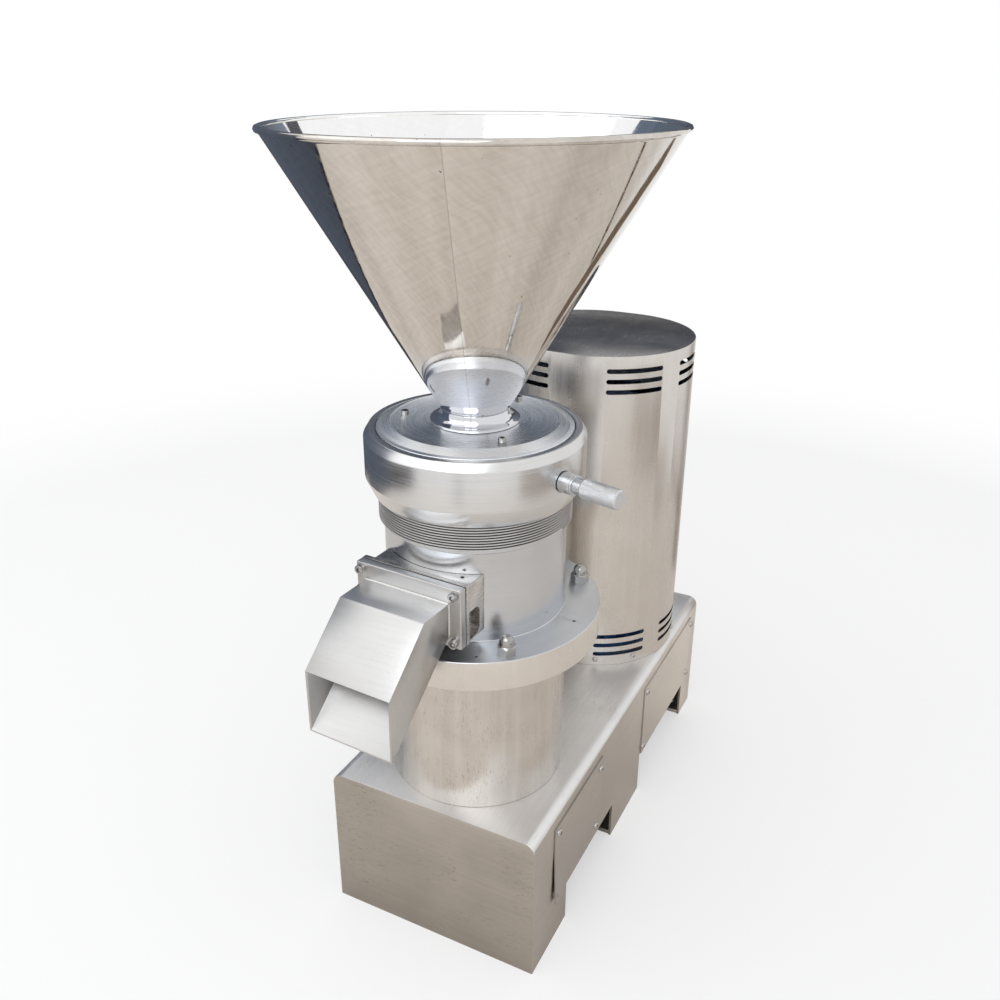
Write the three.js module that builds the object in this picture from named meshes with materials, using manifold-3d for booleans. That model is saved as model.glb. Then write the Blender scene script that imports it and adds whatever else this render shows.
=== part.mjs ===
// Split colloid mill for nut butter: a belt-driven vertical grinder with a hopper, a rotor and stator set by a
// threaded ring, a side spout and a motor under a slotted cover. Millimetres, +Z up, spout towards -Y.
import * as THREE from 'three';
import { mergeVertices } from 'three/addons/utils/BufferGeometryUtils.js';
import Module from 'manifold-3d';

const wasm = await Module();
wasm.setup();

// Fits
const running = 0.3; // gap between pieces that turn, slide or meet in a turned group
const boltPlay = 0.4; // radial gap of a screw in its hole
const turningPlay = 0.8; // radial gap round wide pieces that turn, whose facets pass each other

const beyond = 1; // how far a cutter runs past the face it opens
const sunk = 0.5; // how far joined shapes of one piece run into each other
const tipRoom = 3; // from a screw's end to the bottom of its hole

// Sides of round pieces, by size
const tiny = 6;
const small = 8;
const medium = 12;
const large = 20;
const widest = 36;

// Base
const baseWidth = 272;
const baseLength = 622;
const baseHeight = 195;
const baseWall = 4;
const baseEdgeRadius = 14;
const baseReach = 120; // from the mill's axis forward to the front plate
const frontFootLength = 99;
const frontGapLength = 159;
const middleFootLength = 110;
const rearFootLength = 52;
const frontGapHeight = 54;
const rearGapHeight = 61;
const footPadWidth = 42;
const footPadThickness = 6;
const anchorHoleRadius = 6.5;
const mountingPlateThickness = 8;
const mountingPlateMargin = 12;

// Access panels on both long sides
const panelThickness = 1.5;
const panelBottom = 62;
const panelHeight = 112;
const frontPanelStart = 55; // from the front plate back to the panel's edge
const frontPanelLength = 151;
const rearPanelStart = 370;
const rearPanelLength = 222;
const panelLap = 16; // how far a panel laps over its window
const panelScrewInset = 7.5;
const panelScrewHeadRadius = 4.2;
const panelScrewHeadHeight = 2.4;

// Bearing column
const columnRadius = 105;
const columnHeight = 189;
const columnWall = 8;
const columnFootHeight = 14;
const columnFootWidth = 23;
const columnPlateThickness = 14;
const hubWall = 11;
const hubRise = 17; // hub's lower end above the base
const flangeRadius = 144;
const lowerFlangeThickness = 18;
const columnBoltRadius = 5;
const columnBoltHeadRadius = 9;
const columnBoltHeadHeight = 7;
const columnBoltLength = 22;
const boltAngles = [45, 135, 225, 315];
const shaftHoleRadius = 34;

// Grinding barrel
const upperFlangeThickness = 17.6;
const barrelRadius = 102.4;
const barrelWall = 10.4;
const barrelBodyHeight = 113.4;
const threadRise = 5.8; // from the barrel's wall to the crests of the thread
const threadChamfer = 1.6;
const chamberFloorThickness = 26.4; // above the top of the flange
const chamberFloorWeb = 16; // metal left over the hollow under the chamber
const hollowInnerRadius = 62;
const hollowOuterRadius = 88;
const flangeStudCount = 4;
const flangeStudCircle = 128;
const flangeStudRadius = 5;
const firstStudAngle = -47.5;
const flangeStudRoot = 4; // how deep a stud is sunk into the column's flange
const capNutFlats = 17;
const capNutHexHeight = 8;
const capNutHeight = 18;
const capNutRoof = 5;
const capNutDomeRadius = 7.8;
const capNutDomeRise = 1.5; // straight part of the dome above the hexagon
const capNutCrown = [5.9, 15.3]; // radius and height where the dome turns over
const guidePinRadius = 2.5;
const guidePinInset = 6.9; // centre of a pin from the barrel's outside
const guidePinAngles = [60, 240];
const guidePinRoot = 4;
const guidePinLength = 13; // above the top of the barrel

// Outlet, in a frame turned about the mill's axis
const outletTurn = -3.5;
const outletPlateWidth = 131.5;
const outletPlateOffset = -4.4;
const outletPlateHeight = 69.4;
const outletRise = 49; // centre of the plate above the flange
const outletProjection = 26.9; // from the barrel's wall to the front of the spout's flange
const spoutFlangeThickness = 10;
const gasketThickness = 1;
const blockFlangeThickness = 6;
const blockWidth = 121;
const blockOffset = 0.5;
const blockInset = 1.6; // block's top and bottom inside those of its flange
const outletScrewRadius = 3;
const outletScrewHeadRadius = 5;
const outletScrewHeadHeight = 6;
const outletScrewInset = 7;
const outletScrewLength = 22;
const pocketDepth = 14;
const pocketHeight = 33;
const pocketLength = 19;
const pocketRadius = 8;
const pocketSill = 2.5; // metal left under the pocket
const ductWidth = 104.6;
const ductOffset = -5.6;
const ductHeight = 39;
const ductDrop = 18.4; // from the plate's top edge down to the duct
const ductWall = 2.5;
const ductLedge = 44.7; // flat top of the duct in front of its flange
const ductMouthReach = 106.2; // from the flange's front to the mouth
const ductMouthTop = 55.6; // how far the mouth's top lies below the flat top
const ductMouthHeight = 73;

// Adjusting ring
const exposedThread = 26.6;
const ringHeight = 72.4;
const ringThickness = 13.2; // outside the thread
const ringFootThickness = 4.1;
const ringFootHeight = 19.8;
const ringChamferHeight = 8.9;
const ringChamferWidth = 5.4;
const ledgeThickness = 8;
const ledgeInset = 2.4; // inside the barrel's outer radius

// Stator cover, retaining ring and stator
const coverRimThickness = 7.6;
const coverRimOverhang = 5.2; // outside the barrel's outer radius
const coverCrown = 5.5;
const bevelInset = 5.1; // inside the cover's rim
const bevelWidth = 10;
const coverStep = 0.6;
const hubPlay = 0.5; // in the barrel's bore
const hubDepth = 10; // cover's hub below the retaining ring's top
const retainerThickness = 6;
const retainerInset = 1.6; // inside the cover's rim
const adjustingRoom = 5.7; // from the retaining ring down to the barrel's rim
const statorInset = 4; // inside the barrel's bore
const statorHeight = 95;
const statorScrewCount = 3;
const statorScrewInset = 10.5; // inside the stator's outside
const firstStatorScrewAngle = -41.5;
const statorScrewRadius = 2.5;
const statorScrewHeadRadius = 4.25;
const statorScrewHeadHeight = 5;
const statorScrewDepth = 14; // how far a screw reaches into the stator
const throatRadius = 33.3;

// Rotor
const rotorBottomRadius = 60;
const rotorTopRadius = 44;
const rotorHeight = 83;
const millingGap = 0.8;
const toothDepth = 3;
const rotorTeeth = 14;
const statorTeeth = 16;
const toothTwist = 24; // degrees over the rotor's height
const toothLevels = 3;
const toothEdges = [0.04, 0.46, 0.54, 0.96]; // shares of the pitch: root's two ends, then crest's two ends
const rotorDrop = 2; // rotor's lower face below the stator's

// Shaft line
const lowerBearingBore = 20;
const lowerBearingRadius = 45;
const lowerBearingHeight = 25;
const upperBearingBore = 25;
const upperBearingRadius = 55;
const upperBearingHeight = 27;
const shaftShoulderRadius = 29;
const hubMidBore = 40;
const sealSeatRadius = 34;
const sealShaftRadius = 24;
const sealRise = 1; // seals stand clear of the face below, or above the floor
const journalRelief = 2; // a shaft's thinner end starts this far outside its seat
const rotorNip = 1; // rotor's top above its seat on the shaft
const oilSealHeight = 9;
const mechanicalSealHeight = 16;
const rotorSeatRadius = 20;
const shaftTipRadius = 10;
const shaftTipLength = 14;
const shaftTailRadius = 17;
const impellerHubRadius = 30;
const impellerDiscRadius = 56;
const impellerDiscThickness = 8;
const impellerBlades = 4;
const impellerBladeThickness = 8;
const impellerBladeBend = 52; // radius where a blade starts to sweep back
const impellerBladeSweep = 16;
const impellerBladeTaper = 3; // outer edge's back corner inside its front corner
const impellerFloorGap = 3;
const impellerWallGap = 4;
const feedHubRadius = 16;
const feedImpellerHeight = 24;
const feedVanes = 3;
const feedVaneThickness = 5;
const feedVaneDrop = 7; // vanes' tops below the hub's tip
const feedHubShoulder = [14.4, 6]; // radius, and height below the tip
const feedHubTip = 8;
const feedTipGap = 2; // vanes' ends inside the hopper's neck

// Belt drive
const centreDistance = 355;
const millPulleyRadius = 62;
const motorPulleyRadius = 70;
const beltCount = 2;
const beltPitch = 15;
const beltTopWidth = 13;
const beltBottomWidth = 8.2;
const beltThickness = 8;
const beltSink = 0.6; // belt's back below the pulley's rim
const pulleyEdge = 10;
const grooveExtraDepth = 2;
const pulleyDrop = 42.5; // pulley's centre plane below the mounting plate
const shaftTailDrop = 6;

// Motor
const motorFlangeRadius = 100;
const motorFlangeThickness = 16;
const motorBoltCircle = 90;
const motorBoltRadius = 5;
const motorBoltHeadRadius = 8.5;
const motorBoltHeadHeight = 6;
const motorBoltRoof = 4; // metal left over a bolt in the flange
const motorSlotLength = 24;
const motorBodyRadius = 84;
const motorFinHeight = 9;
const motorFins = 16;
const motorFinEdges = [0.7, 0.78, 0.92]; // root's end, crest's start and crest's end, as shares of the pitch
const motorBodyHeight = 262;
const motorBoreRadius = 56;
const motorCoreRadius = 54;
const motorCoreHeight = 150;
const endShieldThickness = 18;
const terminalPad = [10, 70, 60]; // outward from the fins' roots, across and up
const terminalBox = [26, 90, 90];
const terminalRise = 165; // middle of the box above the flange
const motorShaftRadius = 14;
const motorJournalRadius = 19;
const fanRadius = 72;
const fanHeight = 24;
const fanBlades = 6;
const fanBladeThickness = 4;
const fanHubRadius = 24;
const fanGap = 6;
const cowlRadius = 96;
const cowlWall = 1.5;
const cowlHeight = 62;
const cowlLap = 12;
const cowlInletRadius = 48;
const cowlLug = [14, 8]; // width and height
const cowlLugAngles = [0, 120, 240];

// Motor cover
const coverArcRadius = 121;
const coverArcOffset = 12; // half the flat between the two round ends
const coverHeight = 456;
const coverWall = 1.5;
const coverLug = [3, 16, 16]; // thickness, width and height above the base
const coverLugGap = 1.2;
const slotHeight = 5;
const slotPitch = 14;
const slotLength = 77;
const slotRows = 3;
const slotGroups = 7;
const firstSlotStart = 59; // along the outline, from the middle of the front
const slotGroupPitch = 109;
const upperSlotDrop = 19; // top row's centre below the cover's top
const lowerSlotRise = 19; // bottom row's centre above the base
const coverScrewRise = 9.5;
const coverScrewAngles = [-39, 12, 192, 219];
const coverScrewHeadRadius = 4;
const coverScrewHeadHeight = 2;
const slotCut = 6; // half the width of the bands that cut the slots

// Hopper
const hopperMouthRadius = 203.8;
const hopperRise = 286; // from the cone's lower end to the rim
const hopperFootRadius = 36;
const hopperWall = 1.5;
const rimBeadRadius = 3.4;
const neckFlangeRadius = 49;
const neckFlangeThickness = 2.6;
const neckHeight = 12.3;
const neckSpigotDepth = 16;
const neckBore = 30;
const neckFlatEdge = 3; // flat rim of the flange outside the flare
const neckLip = 1; // neck's top outside the cone's foot
const neckFlareSteps = 4;
const rimBeadCorners = [-110, -30, 50, 130];

// Lock handle
const handleAngle = -14.3;
const handleHeight = 37.9; // above the ring's lower edge
const lockStudRadius = 6;
const lockPadLength = 4.6;
const spotFaceRadius = 12;
const spotFaceDepth = 3;
const collarRadius = 11;
const collarLength = 19.6;
const handleNeckRadius = 8.8;
const handleNeckLength = 9;
const gripRadius = 10.8;
const gripLength = 44.5;
const gripChamfer = 2;
const gripBoreDepth = 20;
const padSlack = 0.2; // pad's radius less than the stud's
const studEndRoom = 2;

// Cable gland
const glandRadius = 11;
const glandLength = 16;
const glandBore = 5;
const glandStem = 6.6;
const glandStemLength = 8;
const glandHexHeight = 7;
const glandDomeRadius = 9;
const glandRise = 110;

// Levels and places that follow from the sizes above
const threadRadius = barrelRadius + threadRise;
const barrelBore = barrelRadius - barrelWall;
const guidePinCircle = barrelRadius - guidePinInset;
const ringRadius = threadRadius + ringThickness;
const ringFootRadius = threadRadius + ringFootThickness;
const ledgeRadius = barrelRadius - ledgeInset;
const coverRimRadius = barrelRadius + coverRimOverhang;
const bevelOuterRadius = coverRimRadius - bevelInset;
const bevelInnerRadius = bevelOuterRadius - bevelWidth;
const hubRadius = barrelBore - hubPlay;
const retainerRadius = coverRimRadius - retainerInset;
const statorRadius = barrelBore - statorInset;
const statorScrewCircle = statorRadius - statorScrewInset;
const baseFront = -baseReach;
const baseRear = baseLength - baseReach;
const baseHalf = baseWidth / 2;
const baseUnderside = baseHeight - baseWall;
const columnTop = baseHeight + columnHeight;
const jointLevel = columnTop + lowerFlangeThickness;
const flangeTop = jointLevel + upperFlangeThickness;
const threadBottom = flangeTop + barrelBodyHeight;
const ringBottom = threadBottom + exposedThread;
const ringTop = ringBottom + ringHeight;
const ledgeTop = ringTop - coverRimThickness - running;
const ledgeBottom = ledgeTop - ledgeThickness;
const retainerTop = ledgeBottom - running;
const retainerBottom = retainerTop - retainerThickness;
const barrelTop = retainerBottom - adjustingRoom;
const coverTop = ringTop + coverCrown;
const coverBottom = retainerTop - hubDepth;
const statorBottom = coverBottom - statorHeight;
const rotorBottom = statorBottom - rotorDrop;
const rotorTop = rotorBottom + rotorHeight;
const chamberFloor = flangeTop + chamberFloorThickness;
const mountingPlateBottom = baseUnderside - mountingPlateThickness;
const pulleyCentre = mountingPlateBottom - pulleyDrop;
const pulleyWidth = (beltCount - 1) * beltPitch + 2 * pulleyEdge;
const shaftBottom = pulleyCentre - pulleyWidth / 2 - shaftTailDrop;
const hubBottom = baseHeight + hubRise;
const upperBearingBottom = jointLevel - upperBearingHeight - running;
const lowerBearingTop = hubBottom + lowerBearingHeight + running;
const motorTop = baseHeight + motorFlangeThickness + motorBodyHeight;
const shieldTop = motorTop + endShieldThickness;
const motorCoverTop = baseHeight + coverHeight;

// Materials
const plain = (name, color, roughness) => new THREE.MeshStandardMaterial({ name, color, roughness });
const steel = (name, color, roughness) => Object.assign(plain(name, color, roughness), { metalness: 1 });
const brushed = steel('brushed stainless steel', 0xb9b4ac, 0.38);
const turned = steel('turned stainless steel', 0xaab0b8, 0.3);
const polished = steel('polished stainless steel', 0xd2d2d0, 0.12);
const castIron = steel('machined iron', 0x77797c, 0.5);
const fastener = steel('bright fastener steel', 0xc8c6c0, 0.25);
const brass = steel('brass', 0xb59a52, 0.35);
const rubber = plain('rubber', 0x1c1c1d, 0.8);
const paint = plain('motor paint', 0x3c5a78, 0.45);
const plastic = plain('black plastic', 0x18191b, 0.5);

// Turns a closed geometry into a solid, with its faces pointing out.
function solid(geometry) {
  const bare = geometry.clone();
  bare.deleteAttribute('normal');
  bare.deleteAttribute('uv');
  const merged = mergeVertices(bare, 1e-4);
  const position = merged.attributes.position;
  const corner = (i) => new THREE.Vector3().fromBufferAttribute(position, i);
  const kept = [];
  let volume = 0;
  for (let i = 0; i < merged.index.count; i += 3) {
    const [a, b, c] = [0, 1, 2].map((k) => merged.index.getX(i + k));
    if (a !== b && b !== c && c !== a) {
      kept.push(a, b, c);
      volume += corner(a).dot(corner(b).cross(corner(c)));
    }
  }
  const triVerts = Uint32Array.from(volume < 0 ? kept.reverse() : kept);
  return new wasm.Manifold(new wasm.Mesh({ numProp: 3, vertProperties: position.array.slice(), triVerts }));
}

function geometryOf(body) {
  const mesh = body.simplify(0.01).getMesh();
  const geometry = new THREE.BufferGeometry();
  geometry.setAttribute('position', new THREE.BufferAttribute(mesh.vertProperties, 3));
  geometry.setIndex(new THREE.BufferAttribute(mesh.triVerts, 1));
  return geometry;
}

const join = (first, ...others) => others.reduce((body, other) => body.add(other), first);
const cut = (first, ...others) => others.reduce((body, other) => body.subtract(other), first);
const placed = (geometry, x, y, z) => solid(geometry.translate(x, y, z));
const radians = THREE.MathUtils.degToRad;
const onCircle = (radius, angle) => [radius * Math.cos(radians(angle)), radius * Math.sin(radians(angle))];

// A ring or disc about +Z from its section, a closed loop of [radius, height] points.
function revolve(section, segments) {
  const loop = [...section, section[0]].map(([r, z]) => new THREE.Vector2(r, z));
  return solid(new THREE.LatheGeometry(loop, segments).rotateX(Math.PI / 2));
}

// The corner radius of a many-sided hole whose flats lie at a radius.
const around = (radius, segments) => radius / Math.cos(Math.PI / segments);

function collarRing(bore, radius, bottom, top, segments = large) {
  const inner = around(bore, segments);
  return revolve([[inner, bottom], [radius, bottom], [radius, top], [inner, top]], segments);
}

function rod(radius, bottom, top, segments = medium) {
  const geometry = new THREE.CylinderGeometry(radius, radius, top - bottom, segments).rotateX(Math.PI / 2);
  return placed(geometry, 0, 0, (bottom + top) / 2);
}

// What a drill takes away.
const drill = (radius, bottom, top, segments = small) => rod(around(radius, segments), bottom, top, segments);

// A box from its low and high corner.
function block(low, high) {
  const size = high.map((value, i) => value - low[i]);
  return placed(new THREE.BoxGeometry(...size), ...low.map((value, i) => value + size[i] / 2));
}

// A flat outline raised from one level to another.
function raise(outline, bottom, top, curveSegments = 12) {
  const options = { depth: top - bottom, bevelEnabled: false, curveSegments };
  return placed(new THREE.ExtrudeGeometry(outline, options), 0, 0, bottom);
}

function polygon(points) {
  return new THREE.Shape(points.map(([x, y]) => new THREE.Vector2(x, y)));
}

// A bolt along +Z from its seat: the shank goes down, the head sits above.
function bolt(shankRadius, shankLength, headRadius, headHeight, headSides) {
  return join(
    rod(shankRadius, -shankLength, sunk, tiny),
    rod(headRadius, 0, headHeight, headSides),
  );
}

const machine = new THREE.Group();
const model = new THREE.Group();
machine.add(model);

function add(name, body, material, parent = model) {
  const mesh = new THREE.Mesh(geometryOf(body), material);
  mesh.name = name;
  parent.add(mesh);
  return mesh;
}

// Base: a folded sheet with welded end plates, feet cut free along both sides and pads inside the feet

function baseOutline(inset) {
  const half = baseHalf - inset;
  const top = baseHeight - inset;
  const radius = Math.max(baseEdgeRadius - inset, 1);
  const outline = new THREE.Shape();
  outline.moveTo(-half, -inset);
  outline.lineTo(half, -inset);
  outline.lineTo(half, top - radius);
  outline.absarc(half - radius, top - radius, radius, 0, Math.PI / 2);
  outline.lineTo(-half + radius, top);
  outline.absarc(-half + radius, top - radius, radius, Math.PI / 2, Math.PI);
  return outline;
}

// An outline seen from the front, with z as its height, drawn out from one y to another.
function drawBack(outline, front, rear, curveSegments = 3) {
  const options = { depth: rear - front, bevelEnabled: false, curveSegments };
  return placed(new THREE.ExtrudeGeometry(outline, options).rotateX(Math.PI / 2), 0, rear, 0);
}

const feet = [
  [baseFront, frontFootLength],
  [baseFront + frontFootLength + frontGapLength, middleFootLength],
  [baseRear - rearFootLength, rearFootLength],
].map(([front, length]) => ({ front, rear: front + length }));

const panels = [
  { name: 'front', start: frontPanelStart, length: frontPanelLength },
  { name: 'rear', start: rearPanelStart, length: rearPanelLength },
].map((panel) => ({ ...panel, front: baseFront + panel.start, rear: baseFront + panel.start + panel.length }));
const panelTop = panelBottom + panelHeight;

function panelScrewPlaces(panel) {
  const ends = [panel.front + panelScrewInset, panel.rear - panelScrewInset];
  const levels = [panelBottom + panelScrewInset, panelTop - panelScrewInset];
  return ends.flatMap((y) => levels.map((z) => [y, z]));
}

const columnBoltCircle = columnRadius - columnFootWidth / 2;
const columnBoltPlaces = boltAngles.map((angle) => onCircle(columnBoltCircle, angle));
const motorBoltPlaces = boltAngles.map((angle) => onCircle(motorBoltCircle, angle));

const slotRoundness = 2;

// Holes that go down through the base's top and the mounting plate under it.
function deckHoles() {
  const bottom = mountingPlateBottom - beyond;
  const top = baseHeight + beyond;
  const shaftHole = drill(shaftHoleRadius, bottom, top, medium);
  const motorHole = shaftHole.translate([0, centreDistance, 0]);
  const boltHole = drill(columnBoltRadius + boltPlay, bottom, top);
  const boltHoles = columnBoltPlaces.map(([x, y]) => boltHole.translate([x, y, 0]));
  const slots = motorBoltPlaces.map(([x, y]) => {
    const radius = around(motorBoltRadius + boltPlay, 4 * slotRoundness);
    const reach = motorSlotLength / 2 - radius;
    const slot = new THREE.Shape();
    slot.absarc(x, centreDistance + y + reach, radius, 0, Math.PI);
    slot.absarc(x, centreDistance + y - reach, radius, Math.PI, 2 * Math.PI);
    return raise(slot, bottom, top, slotRoundness);
  });
  return join(shaftHole, motorHole, ...boltHoles, ...slots);
}

// Copies of a body, drawn on the +X side of the motor's axis, at the angles of the motor cover's screws.
function atCoverScrews(body) {
  return coverScrewAngles.map((angle) => {
    const side = Math.sign(Math.cos(radians(angle)));
    return body.rotate([0, 0, angle]).translate([side * coverArcOffset, 0, 0]);
  });
}

function coverLugs() {
  const [thickness, width, height] = coverLug;
  const outer = coverArcRadius - coverWall - coverLugGap;
  const lug = block(
    [outer - thickness, -width / 2, baseHeight - sunk],
    [outer, width / 2, baseHeight + height],
  );
  return atCoverScrews(lug).map((body) => body.translate([0, centreDistance, 0]));
}

function baseHousing() {
  const shell = drawBack(baseOutline(0), baseFront, baseRear);
  const hollow = drawBack(baseOutline(baseWall), baseFront + baseWall, baseRear - baseWall);
  const across = baseHalf + beyond;
  const gaps = [
    block([-across, feet[0].rear, -beyond], [across, feet[1].front, frontGapHeight]),
    block([-across, feet[1].rear, -beyond], [across, feet[2].front, rearGapHeight]),
  ];
  const windows = panels.map((panel) => block(
    [-across, panel.front + panelLap, panelBottom + panelLap],
    [across, panel.rear - panelLap, panelTop - panelLap],
  ));
  const pads = [-1, 1].flatMap((side) => feet.map((foot) => {
    const outer = baseHalf - baseWall / 2;
    const inner = outer - baseWall / 2 - footPadWidth;
    const [low, high] = side > 0 ? [inner, outer] : [-outer, -inner];
    const front = Math.max(foot.front, baseFront + baseWall / 2);
    const rear = Math.min(foot.rear, baseRear - baseWall / 2);
    const pad = block([low, front, 0], [high, rear, footPadThickness]);
    const hole = drill(anchorHoleRadius, -beyond, footPadThickness + beyond)
      .translate([side * (baseHalf - baseWall - footPadWidth / 2), (foot.front + foot.rear) / 2, 0]);
    return cut(pad, hole);
  }));
  const glandHole = drill(glandStem + running, -2 * baseWall, 2 * baseWall).rotate([90, 0, 0])
    .translate([0, baseRear, glandRise]);
  const box = cut(shell, hollow, ...gaps);
  return cut(join(box, ...pads, ...coverLugs()), ...windows, deckHoles(), glandHole);
}
add('base_housing', baseHousing(), brushed);

function mountingPlate() {
  const half = baseHalf - baseEdgeRadius - mountingPlateMargin;
  const low = [-half, baseFront + baseWall + mountingPlateMargin, mountingPlateBottom];
  const high = [half, baseRear - baseWall - mountingPlateMargin, baseUnderside];
  return cut(block(low, high), deckHoles());
}
add('mounting_plate', mountingPlate(), castIron);

// Panels with the heads of their screws. The front right panel has no screw in its lower front corner.
function accessPanel(panel, side, missing) {
  const face = baseHalf;
  const sheet = block(
    [face, panel.front, panelBottom],
    [face + panelThickness, panel.rear, panelTop],
  );
  const places = panelScrewPlaces(panel).filter((_, i) => i !== missing);
  const head = rod(panelScrewHeadRadius, -panelThickness / 2, panelScrewHeadHeight, small).rotate([0, 90, 0]);
  const heads = places.map(([y, z]) => head.translate([face + panelThickness, y, z]));
  const whole = join(sheet, ...heads);
  return side > 0 ? whole : whole.mirror([1, 0, 0]);
}
for (const panel of panels) {
  const missing = panel.name === 'front' ? 0 : -1;
  add(`access_panel_right_${panel.name}`, accessPanel(panel, 1, missing), brushed);
  add(`access_panel_left_${panel.name}`, accessPanel(panel, -1, -1), brushed);
}

// Bearing column with its hub, top flange and fixed studs

const studPlaces = Array.from({ length: flangeStudCount }, (_, i) =>
  onCircle(flangeStudCircle, firstStudAngle + (360 / flangeStudCount) * i));
const studReach = flangeTop + capNutHeight - capNutRoof;

function bearingColumn() {
  const inner = columnRadius - columnWall;
  const footTop = baseHeight + columnFootHeight;
  const plateBottom = jointLevel - columnPlateThickness;
  const upperSeat = upperBearingRadius + running;
  const lowerSeat = lowerBearingRadius + running;
  const hub = upperBearingRadius + hubWall;
  const shell = revolve([
    [columnRadius - columnFootWidth, baseHeight],
    [columnRadius, baseHeight],
    [columnRadius, columnTop],
    [flangeRadius, columnTop],
    [flangeRadius, jointLevel],
    [hub - sunk, jointLevel],
    [hub - sunk, plateBottom],
    [inner, plateBottom],
    [inner, footTop],
    [columnRadius - columnFootWidth, footTop],
  ], widest);
  const middle = revolve([
    [upperSeat, jointLevel],
    [upperSeat, upperBearingBottom],
    [hubMidBore, upperBearingBottom],
    [hubMidBore, lowerBearingTop],
    [lowerSeat, lowerBearingTop],
    [lowerSeat, hubBottom],
    [hub, hubBottom],
    [hub, jointLevel],
  ], large);
  const stud = rod(flangeStudRadius, jointLevel - flangeStudRoot, studReach, small);
  const studs = studPlaces.map(([x, y]) => stud.translate([x, y, 0]));
  const holeTop = mountingPlateBottom + columnBoltLength + sunk;
  const tapped = columnBoltPlaces.map(([x, y]) =>
    drill(columnBoltRadius + running, baseHeight - beyond, holeTop).translate([x, y, 0]));
  return cut(join(shell, middle, ...studs), ...tapped);
}
add('bearing_column', bearingColumn(), turned);

columnBoltPlaces.forEach(([x, y], i) => {
  const body = bolt(columnBoltRadius, columnBoltLength, columnBoltHeadRadius, columnBoltHeadHeight, tiny)
    .rotate([180, 0, 0])
    .translate([x, y, mountingPlateBottom]);
  add(`column_bolt_${i + 1}`, body, fastener);
});

function capNut() {
  const corner = capNutFlats / Math.sqrt(3);
  const dome = revolve([
    [0, 0],
    [capNutDomeRadius, 0],
    [capNutDomeRadius, capNutHexHeight + capNutDomeRise],
    capNutCrown,
    [0, capNutHeight],
  ], small);
  const hex = rod(corner, 0, capNutHexHeight, tiny);
  return cut(join(hex, dome), drill(flangeStudRadius + running, -beyond, studReach - flangeTop + sunk));
}
studPlaces.forEach(([x, y], i) => {
  add(`cap_nut_${i + 1}`, capNut().rotate([0, 0, firstStudAngle]).translate([x, y, flangeTop]), fastener);
});

// Grinding barrel and the outlet on its side

const outlet = new THREE.Group();
outlet.rotation.z = radians(outletTurn);
model.add(outlet);
const outletCentre = flangeTop + outletRise;
const plateFront = -(barrelRadius + outletProjection);
const plateBack = plateFront + spoutFlangeThickness;
const gasketFront = plateBack + running;
const gasketBack = gasketFront + gasketThickness;
const blockFront = gasketBack + running;
const blockFlangeBack = blockFront + blockFlangeThickness;
const plateBottom = outletCentre - outletPlateHeight / 2;
const plateTop = outletCentre + outletPlateHeight / 2;
const plateLeft = outletPlateOffset - outletPlateWidth / 2;
const plateRight = outletPlateOffset + outletPlateWidth / 2;
const ductTop = plateTop - ductDrop;
const ductBottom = ductTop - ductHeight;
const channelLow = [ductOffset - ductWidth / 2 + ductWall, 0, ductBottom + ductWall];
const channelHigh = [ductOffset + ductWidth / 2 - ductWall, 0, ductTop - ductWall];

// The way out for the paste, as a box between two distances in front of the axis.
function channel(front, back) {
  return block([channelLow[0], front, channelLow[2]], [channelHigh[0], back, channelHigh[2]]);
}

function grindingBarrel() {
  const hollow = collarRing(
    hollowInnerRadius, hollowOuterRadius,
    jointLevel - beyond, chamberFloor - chamberFloorWeb,
  );
  const body = revolve([
    [sealSeatRadius, jointLevel],
    [flangeRadius, jointLevel],
    [flangeRadius, flangeTop],
    [barrelRadius, flangeTop],
    [barrelRadius, threadBottom],
    [threadRadius - threadChamfer, threadBottom],
    [threadRadius, threadBottom + threadChamfer],
    [threadRadius, barrelTop],
    [barrelBore, barrelTop],
    [barrelBore, chamberFloor],
    [sealSeatRadius, chamberFloor],
  ], widest);
  const studHole = drill(flangeStudRadius + boltPlay, jointLevel - beyond, flangeTop + beyond);
  const studHoles = studPlaces.map(([x, y]) => studHole.translate([x, y, 0]));
  const way = channel(-barrelRadius - beyond, -barrelBore / 2).rotate([0, 0, outletTurn]);
  const pin = rod(guidePinRadius, barrelTop - guidePinRoot, barrelTop + guidePinLength, small);
  const pins = guidePinPlaces.map(([x, y]) => pin.translate([x, y, 0]));
  return join(cut(body, ...studHoles, way, hollow), ...pins);
}
const guidePinPlaces = guidePinAngles.map((angle) => onCircle(guidePinCircle, angle));
add('grinding_barrel', grindingBarrel(), turned);

const outletScrewPlaces = [plateLeft + outletScrewInset, plateRight - outletScrewInset]
  .flatMap((x) => [plateBottom + outletScrewInset, plateTop - outletScrewInset].map((z) => [x, z]));

// Round holes along Y at the four screws.
function outletHoles(radius, front, back) {
  const hole = drill(radius, -back, -front).rotate([90, 0, 0]);
  return outletScrewPlaces.map(([x, z]) => hole.translate([x, 0, z]));
}

// An outline in Y and Z, drawn out across X.
function drawAcross(outline, left, right) {
  const options = { depth: right - left, bevelEnabled: false, curveSegments: 2 };
  return solid(new THREE.ExtrudeGeometry(outline, options).applyMatrix4(new THREE.Matrix4().set(
    0, 0, 1, left,
    1, 0, 0, 0,
    0, 1, 0, 0,
    0, 0, 0, 1,
  )));
}

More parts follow.
